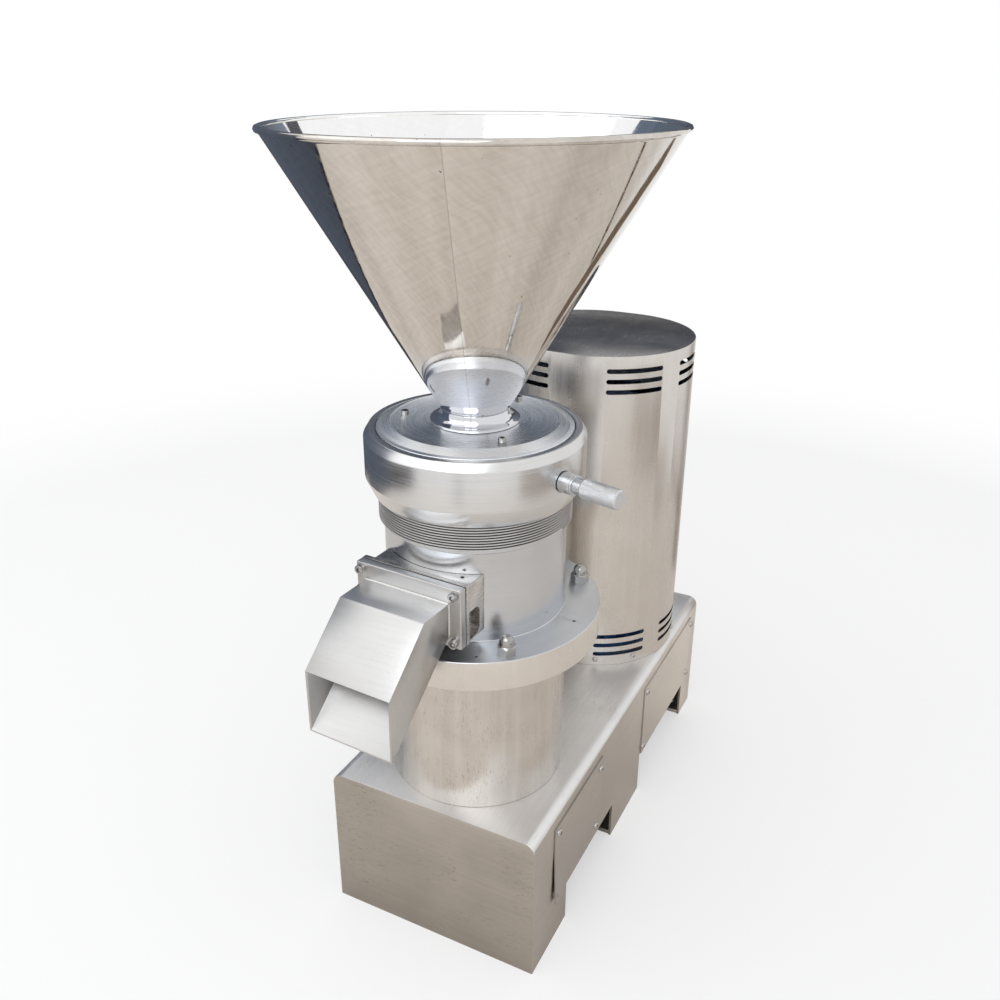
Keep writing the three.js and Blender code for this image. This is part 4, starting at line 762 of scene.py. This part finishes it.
# %% Fold the base
end_plate = [
    (-BASE_HALF, BASE_FRONT, 0),
    (-BASE_HALF, BASE_FRONT, BASE_TOP),
    (BASE_HALF, BASE_FRONT, BASE_TOP),
    (BASE_HALF, BASE_FRONT, 0),
]
base = drawn(end_plate, (0, BASE_REAR - BASE_FRONT, 0), {1: FOLD, 2: FOLD}, 8)
for front, rear, height in GAPS:
    for at, normal in (((0, front, 0), (0, 1, 0)), ((0, rear, 0), (0, 1, 0)), ((0, 0, height), (0, 0, 1))):
        bmesh.ops.bisect_plane(
            base, geom=base.verts[:] + base.edges[:] + base.faces[:], plane_co=at, plane_no=normal
        )
open_faces = []
for face in base.faces:
    centre = face.calc_center_median()
    in_gap = any(front < centre.y < rear and centre.z < height for front, rear, height in GAPS)
    is_bottom = abs(face.normal.z) > SQUARE_ON and centre.z < 1
    if is_bottom or in_gap and abs(face.normal.x) > SQUARE_ON:
        open_faces.append(face)
bmesh.ops.delete(base, geom=open_faces, context="FACES")
bmesh.ops.solidify(base, geom=base.faces[:], thickness=SHEET)
ends = [
    edge for edge in edges_at(base, 1, BASE_FRONT) + edges_at(base, 1, BASE_REAR)
    if edge.is_manifold and edge.calc_face_angle(0) > WELDED_ANGLE
]
bevelled(base, ends, 0.9)
folded = piece(facing_out(base), "bent_base", lit_base_steel, "frame", "base_housing")
# The end plates and the sides take the darker copies of the sheet's finish as painted shade, and the top
# keeps the lighter one as painted light.
refinish(folded, shaded_front_steel, lambda face: abs(face.normal.y) > SQUARE_ON)
refinish(folded, shaded_side_steel, lambda face: abs(face.normal.x) > SQUARE_ON)

# %% [markdown]
# The feet have flat pads turned inwards, with a hole each for an anchor bolt. They can't be seen in the
# photograph, but a machine of this weight is bolted to its floor.

# %% Foot pads
FEET = ((BASE_FRONT + SHEET, -22), (139, 247), (451, BASE_REAR - SHEET))  # front and rear of each pair
PAD_WIDTH, PAD_THICK = 42, 6
ANCHOR_REACH, ANCHOR_HOLE = 114, 6.5

pads = bmesh.new()
for side in (-1, 1):
    for front, rear in FEET:
        inner, outer = sorted((side * (BASE_HALF - PAD_WIDTH), side * (BASE_HALF - SHEET)))
        pad = box((inner, front, 0), (outer, rear, PAD_THICK), 0.6)
        hole = moved(rod(ANCHOR_HOLE, -5, 12), (side * ANCHOR_REACH, (front + rear) / 2, 0))
        joined(pads, carved(pad, hole))
piece(pads, "foot_pads", shaded_side_steel, "frame")

# %% [markdown]
# Each side has two access panels, held by small pan-head screws. On the real machine the front panel has
# lost its lower front screw and bows out there, so a dark wedge shows along its front edge. Small faults
# like this one make a machine look used, and they cost one moved corner.

# %% Screws with crossed slots
def pan_head(radius, height):
    """The head of a cross-slot screw, standing on the origin."""
    foot = height * 0.45
    head = turned([
        (0, 0), (radius, 0), (radius, foot, height * 0.3), (radius * 0.55, height * 0.95), (0, height),
    ], 24)
    for turn in (0, 90):
        slot = box((-radius * 0.55, -radius * 0.12, foot), (radius * 0.55, radius * 0.12, height * 2))
        head = carved(head, moved(slot, turn=turn))
    return head


# %% Access panels
PANELS = {"front": (-65, 86), "rear": (250, 472)}
PANEL_LOW, PANEL_HIGH = 62, 174
PANEL_SHEET = 1.5
PANEL_FACE = BASE_HALF + 0.2 + PANEL_SHEET
BOW = 3.2  # how far the loose corner stands out
BOW_LONG, BOW_HIGH = 60, 80
SCREW_RADIUS, SCREW_HEIGHT, SCREW_HOLE = 4.9, 2.9, 2.4


def panel_sheet(front, rear, bowed):
    """A panel that lies against the right side, with its lower front corner bowed out if asked."""
    sheet = flat_sheet(rear - front, PANEL_HIGH - PANEL_LOW, 24, 18)
    moved(sheet, ((front + rear) / 2, (PANEL_HIGH + PANEL_LOW) / 2, 0))
    bmesh.ops.rotate(sheet, verts=sheet.verts, matrix=Matrix(((0, 0, 1), (1, 0, 0), (0, 1, 0))))
    moved(sheet, (PANEL_FACE, 0, 0))
    if bowed:
        for vert in sheet.verts:
            forward = max(0.0, 1 - (vert.co.y - front) / BOW_LONG)
            down = max(0.0, 1 - (vert.co.z - PANEL_LOW) / BOW_HIGH)
            vert.co.x += BOW * forward**2 * down
    facing_out(sheet)
    if sheet.faces[:][0].normal.x < 0:
        bmesh.ops.reverse_faces(sheet, faces=sheet.faces)
    bmesh.ops.solidify(sheet, geom=sheet.faces[:], thickness=PANEL_SHEET)
    return facing_out(sheet)


screw_places = {
    "front": ((-55, 164), (78, 160), (70, 73), (-57.5, 69.5)),
    "rear": ((259, 164.5), (470, 162), (465, 74), (254.5, 73)),
}
for side in ("right", "left"):
    for end, (front, rear) in PANELS.items():
        lost = side == "right" and end == "front"
        sheet = panel_sheet(front, rear, lost)
        places = [(PANEL_FACE, y, z) for y, z in screw_places[end]]
        if lost:
            _, y, z = places.pop()
            hole = moved(rod(SCREW_HOLE, -9, 9, 20), turn=90, axis="Y")
            sheet = carved(sheet, moved(hole, (BASE_HALF, y, z)))
        heads = repeated(moved(pan_head(SCREW_RADIUS, SCREW_HEIGHT), turn=90, axis="Y"), places)
        if side == "left":
            for shape in (sheet, heads):
                bmesh.ops.scale(shape, verts=shape.verts, vec=(-1, 1, 1))
                bmesh.ops.reverse_faces(shape, faces=shape.faces)
        piece(sheet, f"panel_{side}_{end}", shaded_side_steel, "frame", f"access_panel_{side}_{end}")
        piece(heads, f"panel_screws_{side}_{end}", screw_steel, "frame")

# %% [markdown]
# ## Column, barrel and thread
# The column is a thick tube with a flange, and the barrel stands on it with a flange of the same size. The
# two are turned together, so no joint shows between them. Above the barrel's plain part runs the coarse
# thread of the adjusting ring. A thread is a section spun with a steady climb of one pitch a turn.

# %% Column
COLUMN_RADIUS, COLUMN_BORE = 105, 97
FLANGE_RADIUS = 144
FLANGE_FOOT, FLANGE_JOINT, FLANGE_TOP = 384, 402.2, 419.6

column = turned([
    (COLUMN_BORE, BASE_TOP + 0.2), (COLUMN_RADIUS, BASE_TOP + 0.2, 0.8), (COLUMN_RADIUS, FLANGE_FOOT, 2),
    (FLANGE_RADIUS, FLANGE_FOOT, 1), (FLANGE_RADIUS, FLANGE_JOINT - 0.02), (COLUMN_BORE, FLANGE_JOINT - 0.02),
])
tube = piece(column, "ground_column", column_steel, "frame", "bearing_column")


def on_rim(face):
    """Whether a face lies on the rim of a flange, which has painted light that makes it paler than the tube,
    and fewer stains.
    """
    return across(face).length > (FLANGE_RADIUS - 1) * MM and abs(face.normal.z) < 0.5


refinish(tube, lit_flange_steel, on_rim)

# %% Thread
THREAD_PITCH = 3.0


def threaded_sleeve(bottom, turns, inner, steps=144):
    """A sleeve with an outside thread, closed inside."""
    bm = bmesh.new()
    corners = []
    for turn in range(turns):
        foot = bottom + turn * THREAD_PITCH
        corners += [(THREAD_ROOT, foot), (THREAD_ROOT, foot + 0.5)]
        corners += [(THREAD_CREST, foot + 1.0), (THREAD_CREST, foot + 2.5)]
    corners.append((THREAD_ROOT, bottom + turns * THREAD_PITCH))
    verts = [bm.verts.new((radius, 0, height)) for radius, height in corners]
    for one, two in zip(verts, verts[1:]):
        bm.edges.new((one, two))
    bmesh.ops.spin(
        bm, geom=bm.verts[:] + bm.edges[:], cent=(0, 0, 0), axis=(0, 0, 1), dvec=(0, 0, THREAD_PITCH / steps),
        angle=math.tau, steps=steps,
    )
    bmesh.ops.remove_doubles(bm, verts=bm.verts, dist=0.01)
    rims = bmesh.ops.extrude_edge_only(bm, edges=[e for e in bm.edges if e.is_boundary])
    for vert in points_in(rims):
        vert.co.xy *= inner / vert.co.xy.length
    bmesh.ops.remove_doubles(bm, verts=points_in(rims), dist=0.01)
    bmesh.ops.bridge_loops(bm, edges=[e for e in bm.edges if e.is_boundary])
    return facing_out(bm)


piece(threaded_sleeve(527.6, 24, 104), "barrel_thread", thread_steel, "frame")

# %% Barrel
OUTLET_TURN = -3.5
DUCT_LEFT, DUCT_RIGHT = -57.9, 46.7
DUCT_WALL = 2.5
PASSAGE_LOW, PASSAGE_HIGH = 448.3, 482.4
BARREL_RADIUS, BARREL_BORE, BARREL_TOP = 102.4, 92, 604.1
DIMPLES = ((-62, 132), (-1.4, 125))  # angle and reach of two centre marks on the flange


def passage(front, rear):
    """The space between two depths through which the paste leaves."""
    return box((DUCT_LEFT + DUCT_WALL, front, PASSAGE_LOW), (DUCT_RIGHT - DUCT_WALL, rear, PASSAGE_HIGH))


barrel = turned([
    (BARREL_BORE, FLANGE_JOINT), (FLANGE_RADIUS, FLANGE_JOINT), (FLANGE_RADIUS, FLANGE_TOP, 1.4),
    (BARREL_RADIUS, FLANGE_TOP, 1.2), (BARREL_RADIUS, 525, 0.6), (THREAD_ROOT, 527.4),
    (THREAD_ROOT, BARREL_TOP, 1), (BARREL_BORE, BARREL_TOP),
])
barrel = carved(barrel, moved(passage(-160, -40), turn=OUTLET_TURN))
for angle, radius in DIMPLES:
    barrel = carved(barrel, moved(rod(1.9, -3, 3, 20), on_circle(radius, angle, FLANGE_TOP)))
sleeve = piece(barrel, "turned_barrel", barrel_steel, "frame", "grinding_barrel")


def on_flange_top(face):
    """Whether a face lies on the level top of the flange."""
    return face.normal.z > SQUARE_ON and abs(face.center.z - FLANGE_TOP * MM) < MM


refinish(sleeve, lit_flange_steel, on_rim)
refinish(sleeve, sky_lit_flange_top_steel, on_flange_top)

# %% [markdown]
# Four domed nuts clamp the flanges. A nut is a hexagon whose corners were chamfered on a lathe, so it is
# the space that a hexagon and a turned body share.

# %% Domed nuts
def hexagon(flats, low, high):
    """A hexagonal bar across flats, between two heights."""
    return prism(flats / math.sqrt(3), low, high, 6)


def domed_nut():
    """A cap nut across 19 mm flats, standing on the origin."""
    chamfer = turned([(0, 0), (10.2, 0), (11.1, 1.0), (11.1, 8.2), (8.8, 10.6), (0, 10.6)], 48)
    nut = carved(hexagon(19, 0, 10.6), chamfer, "INTERSECT")
    dome = turned([(0, 10), (8.4, 10), (8.4, 10.8), (8.0, 15.6, 2.0), (5.4, 20.6, 3.0), (0, 22, 1.0)], 40)
    return joined(nut, dome)


NUT_REACH = 128
for number, angle in enumerate((-47.5, 42.5, 132.5, 222.5), 1):
    nut = moved(moved(domed_nut(), turn=angle + 12), on_circle(NUT_REACH, angle, FLANGE_TOP))
    piece(nut, f"domed_nut_{number}", nut_steel, "frame", f"cap_nut_{number}")

# %% [markdown]
# ## Outlet
# The paste leaves through a block that is fitted to the barrel. The spout's flange is screwed to it over a
# thin gasket. The spout itself is folded from sheet: a short flat top, a long slope, and an open mouth.
# All of it is turned by 3.5 degrees about the mill's axis, as in the photograph.

# %% Outlet block
PLATE_LEFT, PLATE_RIGHT = -70.15, 61.35
PLATE_LOW, PLATE_HIGH = 433.9, 503.3
PLATE_FRONT, GASKET_FRONT, BLOCK_FRONT, BLOCK_STEP = -129.3, -119.3, -118.3, -112.3  # depths, front first


def at_outlet(bm):
    """Turns a shape from the outlet's own directions to the machine's."""
    return moved(bm, turn=OUTLET_TURN)


POCKET_FLOOR = PLATE_RIGHT - 14

flange = box((PLATE_LEFT, BLOCK_FRONT, PLATE_LOW), (PLATE_RIGHT, BLOCK_STEP, PLATE_HIGH), 0.8)
body = box((-60, BLOCK_STEP - 0.2, PLATE_LOW + 1.6), (PLATE_RIGHT - 0.35, -45, PLATE_HIGH - 1.6), 1.0)
pocket_corners = [(POCKET_FLOOR, y, z) for y, z in ((-112, 438), (-92.5, 438), (-92.5, 471), (-112, 471))]
pocket = drawn(pocket_corners, (20, 0, 0), {1: 8, 2: 8})
dark_hole = moved(moved(rod(4.2, -30, 8), turn=90, axis="Y"), (POCKET_FLOOR, -100.5, 453))
top_hole = moved(rod(2.2, -6, 6, 24), (45, -100, PLATE_HIGH - 1.6))
barrel_wall = rod(BARREL_RADIUS + 0.5, 425, 515, 128)
for cutter in (barrel_wall, pocket, dark_hole, top_hole, passage(-130, -30)):
    body = carved(body, cutter)
block = joined(carved(flange, passage(-130, -30)), body)
piece(at_outlet(block), "fitted_block", milled_steel, "frame", "outlet_block")

# %% Gasket
gasket = box(
    (PLATE_LEFT + 0.3, GASKET_FRONT, PLATE_LOW + 0.3), (PLATE_RIGHT - 0.3, BLOCK_FRONT, PLATE_HIGH - 0.3)
)
piece(at_outlet(carved(gasket, passage(-130, -100))), "thin_gasket", belt_rubber, "frame", "outlet_gasket")

# %% Weld beads
BEAD_RADIUS = 1.3
BEAD_PITCH = 2.4


def bead_between(start, end):
    """A rippled bead from one point to another."""
    start, end = Vector(start), Vector(end)
    long = (end - start).length
    bm = prism(BEAD_RADIUS, -long / 2, long / 2, 10)
    long_edges = [e for e in bm.edges if abs(e.verts[0].co.z - e.verts[1].co.z) > long / 2]
    bmesh.ops.subdivide_edges(bm, edges=long_edges, cuts=int(long / BEAD_PITCH * 4), use_grid_fill=True)
    for vert in bm.verts:
        vert.co.xy *= 1 + 0.16 * abs(math.sin(math.pi * vert.co.z / BEAD_PITCH))
    moved(bm, (0, 0, long / 2))
    bmesh.ops.rotate(bm, verts=bm.verts, matrix=(end - start).to_track_quat("Z", "Y").to_matrix())
    return moved(bm, start)


# %% Spout
DUCT_SIDE = ((PLATE_FRONT, 484.9), (-174, 484.9), (-235.5, 429.3), (-235.5, 356.3), (PLATE_FRONT, 445.8))
FLAT_TOP = 0.97  # the upward share of a normal on the spout's level top and not on its slope
WELD_DEPTH = PLATE_FRONT - 0.3

duct = drawn([(DUCT_LEFT, y, z) for y, z in DUCT_SIDE], (DUCT_RIGHT - DUCT_LEFT, 0, 0))
duct_ends = [face for face in duct.faces if abs(face.normal.y) > 0.99]
bmesh.ops.delete(duct, geom=duct_ends, context="FACES")
bmesh.ops.solidify(duct, geom=duct.faces[:], thickness=2.2)
facing_out(duct)
for vert in duct.verts:
    vert.co.y = max(vert.co.y, DUCT_SIDE[2][0])
break_edges(duct, 0.45)
plate = box((PLATE_LEFT, PLATE_FRONT, PLATE_LOW), (PLATE_RIGHT, GASKET_FRONT, PLATE_HIGH), 1.2, 3)
plate = carved(plate, passage(-135, -110))
spout = piece(at_outlet(joined(duct, plate)), "folded_spout", duct_steel, "frame", "outlet_spout")
# The level top takes the lighter copy, as painted light.
refinish(spout, lit_duct_top_steel, lambda face: face.normal.z > FLAT_TOP)
weld_ends = (
    ((DUCT_LEFT, 485.3), (DUCT_RIGHT, 485.3)),
    ((DUCT_RIGHT + 0.3, 446), (DUCT_RIGHT + 0.3, 485.3)),
    ((DUCT_LEFT - 0.3, 446), (DUCT_LEFT - 0.3, 485.3)),
    ((DUCT_LEFT, 445.5), (DUCT_RIGHT, 445.5)),
)
welds = [bead_between(*[(x, WELD_DEPTH, z) for x, z in ends]) for ends in weld_ends]
piece(at_outlet(joined(*welds)), "spout_weld", weld_steel, "frame")

# %% Socket screws
def socket_screw(radius, height, socket, shank, shank_length):
    """A cap screw whose head stands on the origin, with its shank below."""
    head = turned([(0, 0), (radius, 0, 0.2), (radius, height, radius * 0.14), (0, height)], 40)
    head = carved(head, hexagon(socket, height * 0.4, height + 2))
    return joined(head, rod(shank, -shank_length, 0.2, 20))


for number in range(1, 5):
    node = f"outlet_screw_{number}"
    where = (middle(node) - Vector((0, mill_y, 0))) / MM
    where.rotate(Matrix.Rotation(math.radians(-OUTLET_TURN), 3, "Z"))
    screw = moved(socket_screw(5, 6, 5, 3, 20), turn=90, axis="X")
    moved(screw, (where.x, PLATE_FRONT, where.z))
    piece(at_outlet(screw), f"spout_screw_{number}", nut_steel, "frame", node)

# %% [markdown]
# ## Adjusting ring and cover
# The heavy ring screws up and down on the barrel. It has a long taper below, a straight wall, and a wide
# bevel on top that catches the brightest line of light on the machine. The cover lies inside its rim, and
# a dark gap runs round between them. Its own bevel and fine rings tell that it came off a lathe.

# %% Adjusting ring
HANDLE_ANGLE = -14.3
HANDLE_LEVEL = 597.5


def at_handle(bm):
    """Lays an upright shape along the handle, with its height as the distance from the mill's axis."""
    return moved(moved(bm, turn=90, axis="Y"), (0, 0, HANDLE_LEVEL), HANDLE_ANGLE)


ring = turned([
    (109, 559.6), (112.3, 559.6, 0.5), (121.4, 579.4, 1.0), (121.4, 623.1, 0.8), (116, 632, 0.8),
    (108.5, 632, 0.5), (108.5, 624.1), (100, 624.1), (100, 616.1), (109, 616.1),
], 160)
spot_face = at_handle(rod(12, 118.4, 130, 48))
bore = at_handle(rod(6.4, 104, 130))
piece(carved(carved(ring, spot_face), bore), "turned_ring", ring_steel, "adjusting_ring", "adjusting_ring")

# %% Cover
COVER_FACE = 637.5

lid = turned([
    (33.3, 605.8), (91.5, 605.8), (91.5, 624.4), (107.6, 624.4), (107.6, 632.2, 0.7), (102.5, 632.6, 0.4),
    (92.5, 638.1, 0.5), (91.2, COVER_FACE), (33.3, COVER_FACE, 0.5),
], 160)
piece(lid, "turned_cover", sky_lit_lid_steel, "stator_carrier", "stator_cover")
for number, angle in enumerate((-41.5, 78.5, 198.5), 1):
    screw = moved(socket_screw(4.25, 5, 4, 2.5, 40), on_circle(77.5, angle, COVER_FACE))
    piece(screw, f"cover_screw_{number}", nut_steel, "stator_carrier", f"stator_screw_{number}")

# %% [markdown]
# ## Locking handle
# A knurled grip on a short stud locks the ring. Knurling is a net of small pyramids that two toothed
# wheels press into the bar. Here a fine grid is spun, and each of its points is pushed in by how far it
# lies from the nearest pyramid's tip.

# %% Stud and pad
stud = at_handle(turned([
    (0, 113.4), (6, 113.4), (6, 118.7), (11, 118.7, 0.6), (11, 134.6, 0.3), (10.4, 135.2), (10.4, 135.8),
    (11, 136.4), (11, 138.3, 1.0), (8.8, 138.3), (8.8, 147.3), (6, 147.3), (6, 165), (0, 165),
], 64))
piece(stud, "lock_stem", handle_steel, "lock_handle", "lock_stud")
pad = at_handle(turned([(0, 108.5), (5.8, 108.5, 0.4), (5.8, 113.1, 0.4), (0, 113.1)], 40))
piece(pad, "brass_pad", yellow_metal, "lock_pad", "lock_pad")

# %% Knurled grip
GRIP_RADIUS = 10.8
GRIP_START, GRIP_END = 147.3, 191.8
GRIP_BORE, BORE_DEPTH = 6.2, 25
KNURLS = 48
KNURL_DEPTH = 0.42


def knurled_grip():
    """The grip as an upright bar, with its outside pressed into pyramids."""
    steps = KNURLS * 4
    low, high = GRIP_START + 2.5, GRIP_END - 2.5
    rows = int((high - low) / (math.tau * GRIP_RADIUS / steps))
    shoulder, rim = GRIP_RADIUS - 1.8, GRIP_RADIUS - 0.3
    outline = [(GRIP_BORE, GRIP_START), (shoulder, GRIP_START), (rim, GRIP_START + 1.6)]
    outline += [(GRIP_RADIUS, low + (high - low) * row / rows) for row in range(rows + 1)]
    outline += [(rim, GRIP_END - 1.6), (shoulder, GRIP_END), (0, GRIP_END)]
    outline += [(0, GRIP_END - BORE_DEPTH), (GRIP_BORE, GRIP_END - BORE_DEPTH)]
    grip = turned(outline, steps)
    for vert in grip.verts:
        reach = vert.co.xy.length
        if reach < GRIP_RADIUS - 0.05 or not low - 0.01 <= vert.co.z <= high + 0.01:
            continue
        round_way = math.atan2(vert.co.y, vert.co.x) / math.tau * KNURLS
        along = (vert.co.z - low) / (math.tau * GRIP_RADIUS) * KNURLS
        valleys = [abs((value + 0.5) % 1 - 0.5) * 2 for value in (round_way + along, round_way - along)]
        vert.co.xy *= (reach - KNURL_DEPTH * max(valleys)) / reach
    return grip


piece(at_handle(knurled_grip()), "knurled_grip", knurl_steel, "lock_handle", "lock_grip", smooth=25)

# %% [markdown]
# ## Hopper
# The cone is rolled from one sheet and buffed bright inside and out, with a wire rolled into its rim. It
# stands in a turned neck whose foot flares out on the cover. A straight cone is only two circles, so all
# of its look comes from the finish and from what it mirrors.

# %% Neck and cone
def arc(centre, reach, degrees):
    """Corners round a centre, with one reach outward and one upward."""
    ways = [math.radians(way) for way in degrees]
    return [(centre[0] + reach[0] * math.cos(way), centre[1] + reach[1] * math.sin(way)) for way in ways]


flare = arc((46.5, 649.6), (9.3, 9.0), range(270, 179, -15))
neck = turned([
    (30, 622), (33, 622), (33, 637.8), (49, 637.8), (49, 639.8, 0.6), *flare, (36.6, 651.4, 0.5),
    (34.4, 651.4), (30, 644),
])
piece(neck, "flared_neck", mirror_steel, "hopper", "hopper_neck")

cone = turned([(36, 649.8), (203.6, 931.6, 1.5), (203.8, 934.0), (202.2, 934.6), (34.4, 650.6)], 192)
wire = turned(arc((204.6, 934.6), (3.1, 3.1), range(0, 360, 45)), 192)
hopper = piece(joined(cone, wire), "buffed_cone", mirror_steel, "hopper", "hopper_cone", smooth=50)
refinish(hopper, lit_inside_steel, lambda face: face.normal.dot(across(face)) < 0 and face.normal.z > 0.3)

# %% [markdown]
# ## Motor cover
# The motor hides under a sheet cover with a slightly flattened round plan: two half circles with a short
# straight between them. Rows of slots near the top and the foot let the fan breathe. The slots are cut as
# flat bars with round ends, and every point of a bar is then wrapped round the cover's outline.

# %% Outline of the cover
COVER_RADIUS = 121
COVER_STRAIGHT = 12
COVER_TOP = 651
COVER_SHEET = 1.5


def wrapped(distance, outward, height):
    """A point at a distance round the outline from the middle of the front, and outward from it."""
    reach = COVER_RADIUS + outward
    round_length = math.pi * COVER_RADIUS
    # The left half of the outline is the right half turned round.
    halves, left = divmod(distance, round_length + 2 * COVER_STRAIGHT)
    left -= COVER_STRAIGHT
    angle = min(max(left, 0), round_length) / COVER_RADIUS
    x = COVER_STRAIGHT + min(left, 0) - max(left - round_length, 0) + reach * math.sin(angle)
    y = -reach * math.cos(angle)
    way = -1 if halves % 2 else 1
    return (way * x, motor_back + way * y, height)


def stadium(radius, low, high):
    """The cover's shape as a closed body."""
    sides = 160
    bm = moved(prism(radius, low, high, sides), turn=180 / sides)
    for vert in bm.verts:
        vert.co.x += math.copysign(COVER_STRAIGHT, vert.co.x)
    return moved(bm, (0, motor_back, 0))


# %% Slots
SLOT_HEIGHT = 6.2
SLOT_LENGTH = 77
SLOT_START = 59
SLOT_PITCH = 109
SLOT_GROUPS = 7
SLOT_LEVELS = (632, 618.3, 604.5, 242, 228, 214)
CUT_DEPTH = 10


def slot_bar(start, level):
    """A bar with round ends, wrapped round the cover."""
    bar = flat_sheet(SLOT_LENGTH, SLOT_HEIGHT, 14, 1)
    ends = [v for v in bar.verts if abs(abs(v.co.x) - SLOT_LENGTH / 2) < 0.01]
    bevelled(bar, ends, SLOT_HEIGHT * 0.49, 5, "VERTICES")
    thicken(bar, (0, 0, CUT_DEPTH))
    for vert in bar.verts:
        vert.co = wrapped(start + SLOT_LENGTH / 2 + vert.co.x, vert.co.z - CUT_DEPTH / 2, level + vert.co.y)
    return facing_out(bar)


cover = stadium(COVER_RADIUS, BASE_TOP + 0.2, COVER_TOP)
bevelled(cover, edges_at(cover, 2, COVER_TOP), 1.0, 3)
cover = carved(cover, stadium(COVER_RADIUS - COVER_SHEET, BASE_TOP - 20, COVER_TOP - COVER_SHEET))
starts = [SLOT_START + SLOT_PITCH * group for group in range(SLOT_GROUPS)]
cover = carved(cover, joined(*[slot_bar(start, level) for start in starts for level in SLOT_LEVELS]))
shell = piece(cover, "slotted_cover", cover_steel, "frame", "motor_cover")
# The cover's top takes the darker copy, as painted shade.
refinish(shell, shaded_cover_top_steel, lambda face: face.normal.z > SQUARE_ON)

# %% Screws of the cover
COVER_SCREW_LEVEL = 204.5
COVER_SCREW_ANGLES = (-66, -39, 12, 192, 219)

cover_screws = bmesh.new()
for angle in COVER_SCREW_ANGLES:
    head = moved(pan_head(4, 2), turn=90, axis="Y")
    shift = math.copysign(COVER_STRAIGHT, math.cos(math.radians(angle)))
    x, y, z = on_circle(COVER_RADIUS + 0.05, angle, COVER_SCREW_LEVEL)
    joined(cover_screws, moved(head, (x + shift, y + motor_back, z), turn=angle))
piece(cover_screws, "cover_screws", screw_steel, "frame")

# %% [markdown]
# ## Drive under the base
# From below, the two pulleys and their belts show. The belts are spun as a ring first. Then the rear half
# of the ring is moved back to the motor's pulley, and the straight runs follow by themselves.

# %% Pulleys
BELT_LEVEL = 140.5
BELT_PITCH = 15
MILL_PULLEY, MOTOR_PULLEY = 62, 70  # their radii


def pulley(radius, bore):
    """A pulley with two V grooves and a hub, about the origin."""
    half = 17.5
    corners = [(bore, -half), (radius, -half, 0.8)]
    for level in (-BELT_PITCH / 2, BELT_PITCH / 2):
        corners += [(radius, level - 6.6), (radius - 10.4, level - 3.8)]
        corners += [(radius - 10.4, level + 3.8), (radius, level + 6.6)]
    return turned(corners + [(radius, half, 0.8), (bore, half)], 96)


mill_drive = moved(pulley(MILL_PULLEY, 17.3), (0, 0, BELT_LEVEL))
motor_drive = moved(pulley(MOTOR_PULLEY, 14.3), (0, motor_back, BELT_LEVEL))
piece(mill_drive, "mill_drive_pulley", iron, "mill_rotor", "mill_pulley")
piece(motor_drive, "motor_drive_pulley", iron, "motor_rotor", "motor_pulley")

# %% Belts
for number, level in enumerate((BELT_LEVEL - BELT_PITCH / 2, BELT_LEVEL + BELT_PITCH / 2), 1):
    belt = turned([
        (53.4, level - 4.1), (61.4, level - 6.5, 0.5), (61.4, level + 6.5, 0.5), (53.4, level + 4.1),
    ], 96)
    for vert in belt.verts:
        if vert.co.y > 0.1:
            vert.co.xy *= 1 + (MOTOR_PULLEY - MILL_PULLEY) / vert.co.xy.length
            vert.co.y += motor_back
    piece(belt, f"drive_belt_{number}", belt_rubber, "frame", f"v_belt_{number}")

# %% Cable gland
chamfer = turned([(0, -1), (11.4, -1), (11.4, 5.8), (10, 7), (0, 7)], 40)
cap = turned([(5, 6.8), (9.4, 6.8), (9.4, 12, 1.5), (7.6, 16, 1.2), (5, 16)], 40)
gland = moved(joined(carved(hexagon(20, 0, 7), chamfer, "INTERSECT"), cap), turn=-90, axis="X")
piece(moved(gland, (0, BASE_REAR, 110)), "lead_gland", moulding, "frame", "cable_gland")

# %% [markdown]
# ## Inner pieces
# The motor, the shafts, the bearings and the grinding set are right as they come from the frame. They keep
# their shapes and only get their finishes.

# %% Dress the solids that stay
inner_finishes = {
    iron: ("mounting_plate", "upper_bearing", "lower_bearing"),
    barrel_steel: (
        "mill_shaft", "discharge_impeller", "grinding_rotor", "feed_impeller", "retaining_ring",
        "grinding_stator", "motor_shaft",
    ),
    screw_steel: tuple(f"{kind}_bolt_{number}" for kind in ("column", "motor") for number in range(1, 5)),
    belt_rubber: ("oil_seal", "mechanical_seal"),
    motor_enamel: ("motor_flange", "motor_body", "motor_end_shield", "fan_cowl"),
    moulding: ("terminal_box", "cooling_fan"),
}
for finish, nodes in inner_finishes.items():
    for name in nodes:
        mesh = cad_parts[name].data
        mesh.materials.clear()
        mesh.materials.append(finish)
